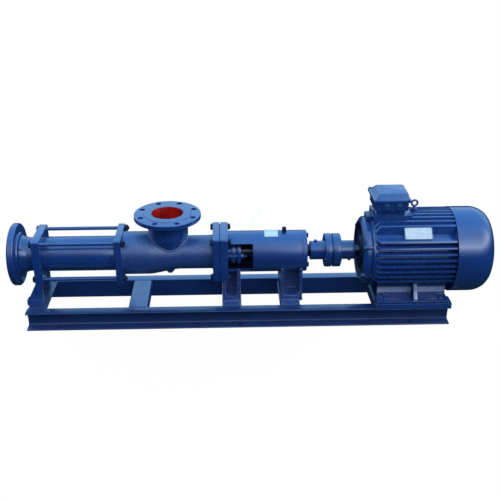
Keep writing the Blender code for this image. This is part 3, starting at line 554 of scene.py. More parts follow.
def plate_aluminium():
    """Pale plate: satin sheet, brushed along its length and slightly dirty."""
    material, tree, shader, coords = new_material("plate_aluminium")
    brushed = noise(tree, stretched(tree, coords, (25.0, 1400.0, 1400.0)), 1.0, 2.0)
    dirt = noise(tree, coords, 90.0, 5.0)
    surface(tree, shader, blend(tree, remap(tree, dirt, 0.45, 0.75, 0.0, 0.5), *PLATE_SHADES),
            remap(tree, brushed, 0.3, 0.7, 0.30, 0.46), {"Metallic": 0.05})
    bump(tree, shader, brushed, 0.02)
    return material


def moulded_rubber():
    """Matt black rubber with a soft grain."""
    material, tree, shader, coords = new_material("moulded_rubber")
    grain = noise(tree, coords, 700.0, 3.0)
    surface(tree, shader, blend(tree, grain, *RUBBER_BLACKS),
            remap(tree, grain, 0.3, 0.7, 0.6, 0.85))
    bump(tree, shader, grain, 0.1)
    return material


def fan_plastic():
    """Black moulded plastic with a fine spark texture."""
    material, tree, shader, coords = new_material("fan_plastic")
    grain = noise(tree, coords, 1200.0, 2.0)
    surface(tree, shader, blend(tree, noise(tree, coords, 20.0, 3.0), *PLASTIC_BLACKS),
            remap(tree, grain, 0.3, 0.7, 0.38, 0.55))
    bump(tree, shader, grain, 0.04)
    return material


# Scales of brushed streaks along X, Y and Z; scale and depth of two grains; edges paled partly as rubbing
# and partly as a painted highlight
BRUSHED = (14.0, 520.0, 520.0)
ROLLED = (300.0, 0.08)
SMOOTH_CAST = (420.0, 0.07)
EDGE_WEAR_AND_SHEEN = {"edges": 2.4, "edge_wear_and_sheen_colour": PALE_DUST_AND_LIGHT, "edge_r": 2.6}

PIPE = blue_paint("pipe_paint", gloss=0.24, grain=(260.0, 0.05), dust_and_sheen=0.10, specks=0.25, coat=0.16)
CAST = blue_paint("casting_paint", gloss=0.34, grain=(620.0, 0.30), dust_and_sheen=0.15, specks=0.6, coat=0.22)
PLATE = blue_paint("plate_paint", gloss=0.28, grain=(180.0, 0.06), dust_and_sheen=0.15)
BEAM = blue_paint("beam_paint", gloss=0.34, grain=ROLLED, dust_and_sheen=0.30, specks=0.35, streaks=BRUSHED,
                  coat=0.2)
MOTOR = blue_paint("motor_paint", gloss=0.27, grain=SMOOTH_CAST, dust_and_sheen=0.12)
SHEET = blue_paint("cowl_paint", gloss=0.16, grain=(90.0, 0.03), dust_and_sheen=0.08, coat=0.12)
BOLT = blue_paint("bolt_paint", gloss=0.30, grain=(500.0, 0.05), dust_and_sheen=0.25, specks=0.5, edges=0.8)
RED = red_primer()
CHAMBER_PAINT = blue_paint("chamber_paint", gloss=0.40, grain=(420.0, 0.55), dust_and_sheen=0.30, specks=0.6,
                           coat=0.28, frost=0.30)
LEG_PAINT = blue_paint("leg_paint", gloss=0.38, grain=(520.0, 0.35), dust_and_sheen=0.35, specks=0.6, coat=0.25,
                       frost=0.24, shade=0.15, **EDGE_WEAR_AND_SHEEN)
# The foot is painted darker as shade, with a pale stripe of painted light on its wall.
FOOT_PAINT = blue_paint("foot_paint", gloss=0.30, grain=(420.0, 0.10), dust_and_sheen=0.12, lit_band=(97.0, 119.0),
                        shade=0.25, **EDGE_WEAR_AND_SHEEN)
PACKER_PAINT = blue_paint("packer_paint", gloss=0.34, grain=ROLLED, dust_and_sheen=0.20, specks=0.35, coat=0.2,
                          **EDGE_WEAR_AND_SHEEN)
# The lid is paled on what faces up, partly by dusting and partly by a painted sheen.
LID_DUST_AND_SHEEN = blue_paint("lid_dust_and_sheen_paint", gloss=0.27, grain=SMOOTH_CAST, dust_and_sheen=0.40)
WELD = blue_paint("weld_paint", gloss=0.22, grain=(500.0, 0.10), dust_and_sheen=0.50, edges=0.6)
SHADED = blue_paint("shaded_paint", gloss=0.42, grain=ROLLED, dust_and_sheen=0.10, specks=0.35, coat=0.3,
                    shade=0.35)
# Painted shade: a darker copy of the frame paint for faces under overhangs.
RAIL_SHADE = blue_paint("rail_shaded_paint", gloss=0.40, grain=ROLLED, dust_and_sheen=0.15, specks=0.35,
                       streaks=BRUSHED, coat=0.3, shade=0.45)
# Painted shade for the near rail's top.
NEAR_RAIL_TOP_SHADE = blue_paint("near_rail_top_shaded_paint", gloss=0.34, grain=ROLLED, dust_and_sheen=0.15, specks=0.35,
                           streaks=BRUSHED, coat=0.1, shade=0.45)
# Dark paint laid on recesses and shaded faces is painted shade; on the cover bolts it is oily dirt.
GRIME_AND_SHADE = grime_and_shade_paint("grime_and_shade_paint", gloss=0.42)
OILY = grime_and_shade_paint("oily_paint", gloss=0.16)
STEEL = turned_steel("turned_steel", STEEL_SHADES)
OILED_STEEL = turned_steel("oiled_steel", OILED_SHADES)
BARE = plate_aluminium()
RUBBER = moulded_rubber()
PLASTIC = fan_plastic()


# Base frame

RAIL_WEB_T = 5.0
ANCHOR_XS = (-631.5, -39.5, 518.5)
ANCHOR_R = 7.0
CROSS_T = 5.5
CROSSMEMBERS = tuple(f"crossmember_{i}" for i in range(1, 7))
SHADED_CROSSMEMBERS = ("crossmember_1", "crossmember_5", "crossmember_6")


def rail(node):
    """Rolled side channel: tapered flanges, filleted roots, rounded toes and drilled anchor holes."""
    span = Span(node)
    side = -1 if span.y0 < 0 else 1
    back, tip = span.ys[::side]
    web = back + side * RAIL_WEB_T
    low, top = span.zs
    outline = fillet(((back, low, 1.0), (tip, low, 0.8), (tip, low + 4.6, 3.5), (web, low + 6.2, 5.0),
                      (web, top - 7.4, 8.0), (tip, top - 4.6, 2.5), (tip, top, 2.0), (back, top, 1.0)),
                     closed=True)
    anchors = [(x, (web + tip) / 2) for x in ANCHOR_XS]
    made = finish(node, BEAM, "frame_paint",
                  lambda bm: add_prism(bm, "X", *span.xs, outline, bevel=0.6, segments=2),
                  cutters=drum_cutters("Z", -5.0, 15.0, ANCHOR_R, anchors, SMALL))
    # The near rail's top is painted darker as shade.
    if side < 0:
        repaint(made, NEAR_RAIL_TOP_SHADE, lambda spot, normal: normal.z > 0.7 and spot.z > top - 1.0)
    # Outer webs and lower flanges painted darker as shade under the top flange.
    repaint(made, RAIL_SHADE, lambda spot, normal: normal.y * side > 0.6 or spot.z < 12.0)

    # Dark discs at the bottom of the anchor holes: painted shade where the floor would show through.
    def shade_and_grime(bm):
        for anchor in anchors:
            add_drum(bm, "Z", low + 0.3, low + 1.5, ANCHOR_R - 0.1, anchor, SMALL, bevel=0.3)

    dress(built(node + "_hole_shadow", shade_and_grime), RUBBER)


def crossmember(node):
    """Cross channel with bent corners, web up; the first one has only its outer flange."""
    span = Span(node)
    low, top = span.zs
    under = top - CROSS_T
    left, right = span.x0 + CROSS_T, span.x1 - CROSS_T
    outline = [(span.x0, top, 7.0), (span.x0, low, 1.0), (left, low, 1.0), (left, under, 4.0)]
    if node == CROSSMEMBERS[0]:
        outline += [(span.x1, under, 1.0), (span.x1, top, 1.0)]
    else:
        outline += [(right, under, 4.0), (right, low, 1.0), (span.x1, low, 1.0), (span.x1, top, 7.0)]

    def welds(bm):
        for y in span.ys:
            seam = line((span.x0 + 3.0, y, top - 1.0), (span.x1 - 3.0, y, top - 1.0), 40)
            add_bead(bm, seam, 2.4, ripple=0.12)
            for x in span.xs:
                add_bead(bm, line((x, y, top - 2.0), (x, y, low + 2.0), 24), 2.2, ripple=0.15)

    # Cross channels under the pump and the motor are painted darker as shade.
    paint = RAIL_SHADE if node in SHADED_CROSSMEMBERS else BEAM
    finish(node, paint, "frame_paint",
           lambda bm: add_prism(bm, "Y", *span.ys, fillet(outline, closed=True)), welds)


def packer(node):
    """Flat packing bar with sheared edges."""
    span = Span(node)
    finish(node, PACKER_PAINT, "frame_paint",
           lambda bm: add_block(bm, span.xs, span.ys, span.zs, corner=1.5, bevel=1.3))


# Pump

PLATE_HALF = 74.5
PLATE_1_T = 25.0
PLATE_4_T = 26.0
NUT_FLATS = 19.0
THREAD_R = 6.0
WASHER_R = 12.0
FOOT_T = 18.0
JOINT_HALF = 1.0
TUBE_WALL = 6.0
OUTLET_R = 102.0
OUTLET_NECK_R = 55.0
OUTLET_BORE_R = 40.0
LINING_BORE_R = 42.5
SHAFT_BORE_R = 20.8

TUBE = Span("stator_tube")
PLATE_1_X = (TUBE.x0 - GAP - PLATE_1_T, TUBE.x0 - GAP)
HOUSING = Span("bearing_housing")
PLATE_4_X = (HOUSING.x0, HOUSING.x0 + PLATE_4_T)


def add_square_plate(bm, xs):
    """Square plate across the axis with rounded corners and edges."""
    outline = rectangle(-PLATE_HALF, PLATE_HALF, AXIS_Z - PLATE_HALF, AXIS_Z + PLATE_HALF, 5.0)
    add_prism(bm, "X", *xs, outline, bevel=1.6)


def discharge_profile(face, neck_end):
    """Outer profile of the outlet: banded rim with a flat back, two low steps and the neck."""
    rim = OUTLET_R
    neck = OUTLET_NECK_R
    steps = ((0.0, 0.0), (0.0, rim - 7.0, 2.0), (2.0, rim - 2.5, 3.0), (5.0, rim, 3.0),
             (20.0, rim, 3.0), (22.5, rim - 2.5, 2.0), (23.5, rim - 6.0, 2.0), (23.5, neck + 19.0, 3.0),
             (29.0, neck + 17.0, 2.5), (31.5, neck + 9.0, 3.0), (40.0, neck + 4.0, 8.0),
             (55.0, neck, 12.0), (neck_end - face, neck), (neck_end - face, 0.0))
    return fillet([(face + step[0], *step[1:]) for step in steps], steps=6)


def discharge_body():
    """Outlet flange, steps, neck, square plate and the foot with its recessed triangular ribs."""
    node = "discharge_body"
    span = Span(node)
    left, right = PLATE_1_X
    toe, heel = left - 35.0, left + 15.0
    floor, step = span.z0, span.z0 + FOOT_T
    plate_low = AXIS_Z - PLATE_HALF
    profile = discharge_profile(span.x0, left + 3.0)

    def foot(bm):
        rib = ((toe + 3.0, step - 2.0), (left + 5.0, step - 2.0), (left + 5.0, plate_low),
               (left - 1.0, plate_low))
        for side in (-1, 1):
            low, high = sorted((side * (PLATE_HALF - 30.0), side * PLATE_HALF))
            add_block(bm, (toe, heel), (low, high), (floor, step), corner=2.5, bevel=1.5)
            add_block(bm, (left, heel - 0.4), (low + 0.4, high - 0.4), (floor + 2.0, plate_low + 12.0),
                      corner=1.5)
            rib_ys = sorted((side * (PLATE_HALF - 22.0), side * (PLATE_HALF - 5.0)))
            add_prism(bm, "Y", *rib_ys, rib, bevel=1.0, segments=2)

    for name, shell in (("discharge_outlet", lambda bm: add_turned(bm, "X", profile, AXIS, ROUND)),
                        ("discharge_plate", lambda bm: add_square_plate(bm, PLATE_1_X))):
        made = built(name, shell)
        carve(made, *drum_cutters("X", span.x0 - 5.0, right + 5.0, OUTLET_BORE_R, [AXIS], FINE))
        dress(made, PLATE, replaces=[node])
    dress(built("discharge_foot", foot), PLATE)


def stator_tube():
    """Smooth steel tube between the first two plates."""
    outer = TUBE.radius()
    inner = outer - TUBE_WALL
    profile = fillet(((TUBE.x0, outer, 0.5), (TUBE.x1, outer, 0.5), (TUBE.x1, inner), (TUBE.x0, inner)),
                     closed=True, steps=2)
    finish("stator_tube", PIPE, "pump_paint", lambda bm: add_turned(bm, "X", profile, AXIS, ROUND))


def add_bolt_end(bm, centre, face, washer, nut, turn):
    """Washer and hexagon at one end of a bolt; both reaches are measured outward from the face."""
    add_drum(bm, "X", face, face + washer, WASHER_R, centre, MEDIUM, bevel=0.4)
    add_hex(bm, "X", face + washer, face + nut, NUT_FLATS, centre, turn)


def tie_rod(node):
    """Long stud with washers, chamfered nuts and threaded ends."""
    span = Span(node)
    centre = span.middle("X")
    left, right = PLATE_1_X[0], Span("suction_plate").x1
    turn = 0.3 if centre[1] > AXIS_Z else 0.9

    def rod(bm):
        add_drum(bm, "X", left - 2.0, right + 2.0, THREAD_R, centre, SMALL)
        add_thread(bm, "X", span.x0, left, THREAD_R, centre)
        add_thread(bm, "X", right, span.x1, THREAD_R, centre)
        add_bolt_end(bm, centre, left, washer=-1.8, nut=-8.5, turn=turn)
        add_bolt_end(bm, centre, right, washer=1.8, nut=10.5, turn=turn + 0.4)

    made = finish(node, BOLT, "pump_paint", rod)
    repaint(made, OILY, lambda spot, normal: not left - 0.5 < spot.x < right + 0.5)


def housing_bolt(node):
    """Short bolt through the two plates in the middle."""
    span = Span(node)
    centre = span.middle("X")
    left, right = Span("suction_end_plate").x0, PLATE_4_X[1]
    turn = 0.5 if centre[1] > AXIS_Z else 0.1

    def bolt(bm):
        add_drum(bm, "X", left - 2.0, right + 2.0, THREAD_R, centre, SMALL)
        add_thread(bm, "X", right, span.x1, THREAD_R, centre)
        add_bolt_end(bm, centre, left, washer=-1.6, nut=span.x0 - left, turn=turn)
        add_bolt_end(bm, centre, right, washer=1.4, nut=8.2, turn=turn + 0.5)

    finish(node, OILY, "pump_paint", bolt)


CHAMBER = Span("suction_chamber")
CONE_X = (-332.5, -234.5)
SMALL_END_R = 55.0
CHAMBER_WALL = 9.0
BIG_END_R = 70.5


def chamber_radius(x):
    """Outer radius of the suction chamber at a place along the axis."""
    share = min(max((x - CONE_X[0]) / (CONE_X[1] - CONE_X[0]), 0.0), 1.0)
    smooth = 0.5 * share + 0.5 * share * share * (3 - 2 * share)
    return BIG_END_R + (SMALL_END_R - BIG_END_R) * smooth


def chamber_line(grow, start, end):
    """Profile points of the chamber's outside, moved out by grow."""
    steps = 44
    places = [start + (end - start) * i / steps for i in range(steps + 1)]
    return [(x, chamber_radius(x) + grow) for x in places]


NOZZLE = Span("inlet_nozzle")
INLET_X = (NOZZLE.x0 + NOZZLE.x1) / 2
INLET = (INLET_X, 0.0)
INLET_BORE_R = 50.0
NECK_ROOT_R = 51.5
NECK_R = 64.5
NECK_CONE_Z = (AXIS_Z + 25.0, AXIS_Z + 66.0)
FLANGE_T = 16.0
FLANGE_R = 107.5
HOLE_CIRCLE_R = 90.0
HOLE_COUNT = 8
HOLE_R = 9.0
RAISED_R = 76.0


def neck_radius(z):
    """Outer radius of the inlet neck at a height."""
    low, high = NECK_CONE_Z
    share = min(max((z - low) / (high - low), 0.0), 1.0)
    return NECK_ROOT_R + (NECK_R - NECK_ROOT_R) * share


def saddle_line():
    """Points of the closed seam where the neck meets the chamber."""
    steps = 120
    points = []
    for i in range(steps):
        angle = 2 * math.pi * i / steps
        z = AXIS_Z + 60.0
        for _ in range(8):
            radius = neck_radius(z)
            x = INLET_X + radius * math.cos(angle)
            y = radius * math.sin(angle)
            z = AXIS_Z + math.sqrt(max(chamber_radius(x) ** 2 - y * y, 0.0))
        points.append((x, y, z))
    return points


def suction_chamber():
    """Rough-cast chamber that narrows toward the drive, with its drain boss; red inside."""
    outer = chamber_line(0.0, *CHAMBER.xs)
    inner = chamber_line(-CHAMBER_WALL, *CHAMBER.xs)[::-1]
    drain = Span("drain_plug")
    low, root = drain.z1 + GAP, AXIS_Z - 50.0

    def ends(bm):
        for x, radius in ((CHAMBER.x0 + 1.0, outer[0][1]), (CHAMBER.x1 - 1.0, outer[-1][1])):
            ring = [(x, a, b) for a, b in circle(radius, 160, AXIS)]
            add_bead(bm, ring, 2.6, ripple=0.1, closed=True)

    def boss(bm):
        profile = fillet(((low, 0.0), (low, 13.0, 2.0), (drain.z1 + 8.0, 14.5, 4.0), (root, 17.0),
                          (root, 0.0)))
        add_turned(bm, "Z", profile, drain.middle("Z"), MEDIUM)

    made = finish("suction_chamber", CHAMBER_PAINT, "pump_paint",
                  lambda bm: add_turned(bm, "X", outer + inner, AXIS),
                  cutters=drum_cutters("Z", AXIS_Z, NOZZLE.z1, INLET_BORE_R - 1.0, [INLET], FINE))
    repaint(made, RED, lambda spot, normal: abs(normal.x) < 0.9 and
            off_axis(spot) < chamber_radius(spot.x) - 3.0)
    dress(built("chamber_welds", ends, boss), CHAMBER_PAINT)
    seam = built("nozzle_weld",
                 lambda bm: add_bead(bm, saddle_line(), 3.8, ripple=0.05, closed=True, sides=12))
    dress(seam, WELD)


def inlet_nozzle():
    """Inlet neck and its drilled flange with a raised face; the bore is lined with red primer."""
    top = NOZZLE.z1
    low = top - FLANGE_T
    step = top - 2.0
    base = AXIS_Z - 9.0
    profile = fillet(((base, 0.0), (base, NECK_ROOT_R), (NECK_CONE_Z[0], NECK_ROOT_R, 10.0),
                      (NECK_CONE_Z[1], NECK_R, 10.0), (low - 10.0, NECK_R, 8.0),
                      (low, NECK_R + 8.0, 6.0), (low, FLANGE_R, 1.2), (step, FLANGE_R, 1.4),
                      (step, RAISED_R + 1.2, 0.8), (top, RAISED_R, 0.6), (top, 0.0)), steps=6)
    seat = chamber_line(-1.0, CHAMBER.x0 - 5.0, CHAMBER.x1 + 5.0)
    seat = [(seat[0][0], 0.0)] + seat + [(seat[-1][0], 0.0)]
    hole = fillet(((low - 3.0, 0.0), (low - 3.0, HOLE_R + 3.5), (low + 0.8, HOLE_R),
                   (top - 2.8, HOLE_R), (top + 1.0, HOLE_R + 3.5), (top + 1.0, 0.0)))
    cutters = [built("seat", lambda bm: add_turned(bm, "X", seat, AXIS)),
               *drum_cutters("Z", base - 20.0, top + 5.0, INLET_BORE_R, [INLET], FINE)]
    for spot in circle(HOLE_CIRCLE_R, HOLE_COUNT, INLET, math.pi / HOLE_COUNT):
        cutters.append(built("hole", lambda bm, spot=spot: add_turned(bm, "Z", hole, spot, SMALL)))
    finish("inlet_nozzle", PIPE, "pump_paint", lambda bm: add_turned(bm, "Z", profile, INLET, ROUND),
           cutters=cutters)
    sleeve_low = AXIS_Z + 30.0
    outer, inner = INLET_BORE_R + 0.2, INLET_BORE_R - 1.2
    rim = fillet(((sleeve_low, outer), (top - 0.6, outer), (top, INLET_BORE_R + 1.6),
                  (top, INLET_BORE_R - 0.2, 0.6), (step, inner), (sleeve_low, inner)),
                 closed=True, steps=3)
    sleeve = built("inlet_lining", lambda bm: add_turned(bm, "Z", rim, INLET))
    dress(sleeve, RED)


def drain_plug():
    """Hexagon plug in the drain boss."""
    span = Span("drain_plug")
    centre = span.middle("Z")
    finish("drain_plug", BOLT, "pump_paint", lambda bm: add_hex(bm, "Z", *span.zs, 15.0, centre),
           lambda bm: add_drum(bm, "Z", span.z1 - 0.6, span.z1 + 1.0, 8.4, centre, SMALL, bevel=0.3))


def suction_end(node, recess, bore):
    """One square end plate of the suction body, darker on the side toward the outlet."""
    span = Span(node)
    made = finish(node, PLATE, "pump_paint", lambda bm: add_square_plate(bm, (span.x0, span.x1 - recess)),
                  cutters=drum_cutters("X", span.x0 - 5.0, span.x1 + 5.0, bore, [AXIS]))
    repaint(made, SHADED, lambda spot, normal: normal.x < -0.7)


BARREL_R = 68.0
WINDOW_END_X = 5.5
WINDOW_HALF = 48.0


def bearing_barrel():
    """Cast barrel with its window on the near side; painted shade inside, painted light on the sill."""
    right = PLATE_4_X[1]
    start, end = right - 3.0, HOUSING.x1
    profile = fillet(((start, 0.0), (start, BARREL_R, 1.0), (end, BARREL_R, 0.4), (end, 0.0)))
    window = rectangle(right - 6.0, WINDOW_END_X, AXIS_Z - WINDOW_HALF, AXIS_Z + WINDOW_HALF, 4.0)
    made = built("bearing_barrel", lambda bm: add_turned(bm, "X", profile, AXIS, ROUND))
    carve(made, *drum_cutters("X", right - 5.0, WINDOW_END_X, BARREL_R - 12.0, [AXIS], FINE),
          built("window", lambda bm: add_prism(bm, "Y", -BARREL_R - 5.0, 0.0, window)),
          *drum_cutters("X", WINDOW_END_X - 5.0, end + 5.0, SHAFT_BORE_R, [AXIS]))
    soften(made, width=1.3, angle=40.0)
    dress(made, CAST, replaces=["bearing_housing"])
    # Inside the window, painted dark as shade.
    repaint(made, GRIME_AND_SHADE, lambda spot, normal: spot.x < WINDOW_END_X - 0.5 and
            off_axis(spot) < BARREL_R - 8.0)
    # The window's sill, painted pale as light.
    repaint(made, PACKER_PAINT, lambda spot, normal: spot.x < WINDOW_END_X + 0.5 and spot.y < 0.0 and
            abs(spot.z - AXIS_Z + WINDOW_HALF) < 2.0)


def housing_joint():
    """Square plate of the bearing housing, and the dark gasket set back in its joint."""
    left, right = PLATE_4_X
    middle = left - GAP / 2
    half = PLATE_HALF - 5.0
    sheet = rectangle(-half, half, AXIS_Z - half, AXIS_Z + half, 4.0)
    plate = built("housing_plate", lambda bm: add_square_plate(bm, (left + JOINT_HALF, right)))
    carve(plate, *drum_cutters("X", left - 5.0, right + 5.0, SHAFT_BORE_R, [AXIS]))
    dress(plate, PLATE)
    gasket = built("housing_gasket", lambda bm: add_prism(bm, "X", middle - 2.0, middle + 2.0, sheet))
    carve(gasket, *drum_cutters("X", middle - 5.0, middle + 5.0, SHAFT_BORE_R, [AXIS]))
    dress(gasket, RUBBER)


def bearing_leg(node):
    """Cast leg with its side pockets, softened edges and the weld at its foot."""
    dress(refined(node, width=2.0, segments=3), LEG_PAINT, replaces=[node])
    span = Span(node)

    def weld(bm):
        z = span.z0 + 0.5
        for y in span.ys:
            add_bead(bm, line((span.x0 + 2.0, y, z), (span.x1 - 2.0, y, z), 30), 2.4, ripple=0.15)
        for x in span.xs:
            add_bead(bm, line((x, span.y0 + 2.0, z), (x, span.y1 - 2.0, z), 60), 2.2, ripple=0.15)

    dress(built(node + "_weld", weld), LEG_PAINT)


GLAND_STUD_Y = 38.0
GLAND_STUD_R = 5.0
GLAND_NUT_FLATS = 16.0


def packing_gland():
    """Gland follower and lantern collar with studs and nuts, in the window."""
    span = Span("packing_gland")
    seat = span.x0
    nut_face = seat + 43.0
    follower = fillet(((seat, 33.0), (seat + 30.0, 33.0, 2.0), (seat + 30.0, 44.0, 2.5),
                       (seat + 42.0, 44.0, 2.5), (seat + 42.0, 27.0, 2.0), (seat + 40.0, SHAFT_BORE_R),
                       (seat, SHAFT_BORE_R)), closed=True, steps=4)
    collar = fillet(((seat + 10.0, 32.0), (seat + 10.0, 42.0, 2.5), (seat + 24.0, 42.0, 2.5),
                     (seat + 24.0, 32.0)), closed=True, steps=4)

    def rings(bm):
        for profile in (follower, collar):
            add_turned(bm, "X", profile, AXIS)

    def studs(bm):
        for y in (-GLAND_STUD_Y, GLAND_STUD_Y):
            centre = (y, AXIS_Z)
            add_drum(bm, "X", seat, nut_face + 1.0, GLAND_STUD_R, centre, SMALL)
            add_thread(bm, "X", nut_face, span.x1, GLAND_STUD_R, centre, pitch=1.5)
            add_drum(bm, "X", nut_face - 1.5, nut_face, 9.5, centre, SMALL, bevel=0.3)
            add_hex(bm, "X", nut_face, nut_face + 7.0, GLAND_NUT_FLATS, centre, turn=0.3)

    finish("packing_gland", PIPE, "pump_paint", rings, studs)


COVER_BOLTS = 6
COVER_BOLTS_R = 55.0


def bearing_cover():
    """Cover of the bearing barrel with a shaft seal lip, and its six oily hexagon bolts."""
    start = Span("bearing_cover").x0
    face = start + 18.0
    lip = face + 2.0
    profile = fillet(((start, SHAFT_BORE_R), (start, BARREL_R, 0.4), (face - 2.0, BARREL_R, 1.5),
                      (face, BARREL_R - 2.0, 1.5), (face, 40.0, 2.0), (lip, 36.0, 1.5),
                      (lip, SHAFT_BORE_R)), closed=True)

    def bolts(bm):
        for centre in circle(COVER_BOLTS_R, COVER_BOLTS, AXIS, math.pi / COVER_BOLTS):
            add_drum(bm, "X", face - 0.5, face + 1.2, 8.8, centre, SMALL, bevel=0.4)
            add_hex(bm, "X", face + 0.6, face + 6.0, 14.5, centre, turn=0.2)

    finish("bearing_cover", CAST, "pump_paint", lambda bm: add_turned(bm, "X", profile, AXIS, ROUND))
    dress(built("cover_bolts", bolts), GRIME_AND_SHADE)


def grease_nipple():
    """Grease nipple with a hexagon base and a capped ball end."""
    span = Span("grease_nipple")
    centre = span.middle("Z")
    low = span.z0 - 0.4
    profile = fillet(((low + 4.0, 0.0), (low + 4.0, 6.2), (low + 6.6, 5.8, 1.5), (low + 9.4, 7.5, 1.5),
                      (low + 14.2, 7.5, 2.5), (low + 17.8, 4.4, 2.0), (span.z1, 2.0), (span.z1, 0.0)))
    finish("grease_nipple", OILY, "pump_paint", lambda bm: add_hex(bm, "Z", low, low + 5.0, 14.6, centre),
           lambda bm: add_turned(bm, "Z", profile, centre, SMALL))


PUMP_PLATE_ANGLES = (68.0, 113.0)


def pump_nameplate():
    """Bare plate bent round the barrel with a stamped border and drive screws."""
    left, right = Span("pump_nameplate").xs
    first, last = PUMP_PLATE_ANGLES
    inner = BARREL_R + 0.2

    def sheet(bm):
        steps = 16
        for inset, lift in ((0.0, 0.0), (1.6, 0.35)):
            reach = math.degrees(inset / BARREL_R)
            outer = BARREL_R + lift + 1.0
            xs = (left + inset, right - inset)
            rings = []
            for i in range(steps + 1):
                degrees = first + reach + (last - first - 2 * reach) * i / steps
                corners = ((outer, xs[0]), (outer, xs[1]), (inner, xs[1]), (inner, xs[0]))
                rings.append([(x, *polar(radius, degrees)) for radius, x in corners])
            add_rings(bm, rings)

    def screws(bm):
        for x in (left + 3.5, right - 3.5):
            for degrees in (first + 3.0, last - 3.0):
                add_dome(bm, (x, *polar(BARREL_R + 1.6, degrees)))

    finish("pump_nameplate", BARE, "plate_metal", sheet, screws)


# Turning pieces

COUPLING_PINS = 6
COUPLING_PINS_R = 43.0
HUB_R = 31.0


def coupling_half(node, toward, bore, flange_t, screw_at):
    """Coupling half: hub, flange, set screw and sunk pin nuts; toward points to the split."""
    span = Span(node)
    back, face = span.xs[::toward]
    flange = face - toward * flange_t
    edge = face - toward * 1.8
    rim = span.radius()
    profile = fillet(((back, bore), (back, HUB_R, 2.0), (flange, HUB_R, 3.0), (flange, rim, 2.5),
                      (edge, rim, 0.8), (edge, rim - 5.0), (face, rim - 5.0), (face, bore)), closed=True)

    def pins(bm):
        for centre in circle(COUPLING_PINS_R, COUPLING_PINS, AXIS, turn=0.35):
            add_drum(bm, "X", flange - toward * 0.8, flange + toward * 1.0, 8.4, centre, SMALL, bevel=0.3)
            add_hex(bm, "X", flange - toward * 2.0, flange + toward * 0.5, 11.0, centre, turn=0.2)

    def set_screw(bm):
        zs = [AXIS_Z + toward * reach for reach in (HUB_R - 3.0, HUB_R + 6.5)]
        add_drum(bm, "Z", *zs, 5.2, (back + toward * screw_at, 0.0), SMALL, bevel=0.8)

    finish(node, PLATE, "pump_paint", lambda bm: add_turned(bm, "X", profile, AXIS, ROUND), pins,
           set_screw, body=TRAIN)


MOTOR_SHAFT_STEP_X = 680.0


def shaft(node, end, radius, key_xs):
    """Oily shaft with its key."""
    def bar(bm):
        top = AXIS_Z + radius
        add_drum(bm, "X", Span(node).x0, end, radius, AXIS, FINE, bevel=1.0)
        add_block(bm, key_xs, (-4.0, 4.0), (top - 4.0, top + 0.2), corner=3.5, bevel=0.3)

    finish(node, OILED_STEEL, "bare_steel", bar, body=TRAIN)


def motor_shaft_tail():
    """Thinner end of the motor's shaft, under the fan."""
    end = Span("motor_shaft").x1
    tail = built("motor_shaft_tail",
                 lambda bm: add_drum(bm, "X", MOTOR_SHAFT_STEP_X - 1.0, end, 14.0, AXIS, MEDIUM, bevel=1.0))
    dress(tail, STEEL, body=TRAIN)


def screw_rotor():
    """Polished single-helix rotor."""
    left, right = Span("screw_rotor").xs
    pitch = 84.0
    throw = 8.0
    steps = 200

    def helix(bm):
        rings = []
        for i in range(steps + 1):
            x = left + (right - left) * i / steps
            turn = 2 * math.pi * (x - left) / pitch
            centre = (throw * math.cos(turn), AXIS_Z + throw * math.sin(turn))
            rings.append([(x, a, b) for a, b in circle(25.0, MEDIUM, centre)])
        add_rings(bm, rings)

    finish("screw_rotor", STEEL, "bare_steel", helix, body=TRAIN)


# Motor

SHIELD = Span("drive_end_shield")
COWL = Span("fan_cowl")
COWL_R = 140.0
COWL_WALL = 3.0
COWL_SCREW_ANGLES = (90.0, 18.0, -40.0, 162.0, 220.0)
COWL_SLOT_HALF = 5.0
COWL_SLOT_PITCH = 22.0
COWL_SLOTS_R = 86.0
END_RING_R = 119.0
SHIELD_R = 111.0
SHIELD_LIP_R = 98.0
LUG_AT = 102.0
LUG_ANGLES = (28.0, 152.0, 208.0, 332.0)
SHIELD_RIBS = 8
SHIELD_RIB_HALF = 2.4
FOOT_PAD_T = 9.5
FOOT_BOLT_XS = (435.5, 613.5)
FOOT_BOLT_Y = 108.0
FOOT_BOLT_R = 5.8


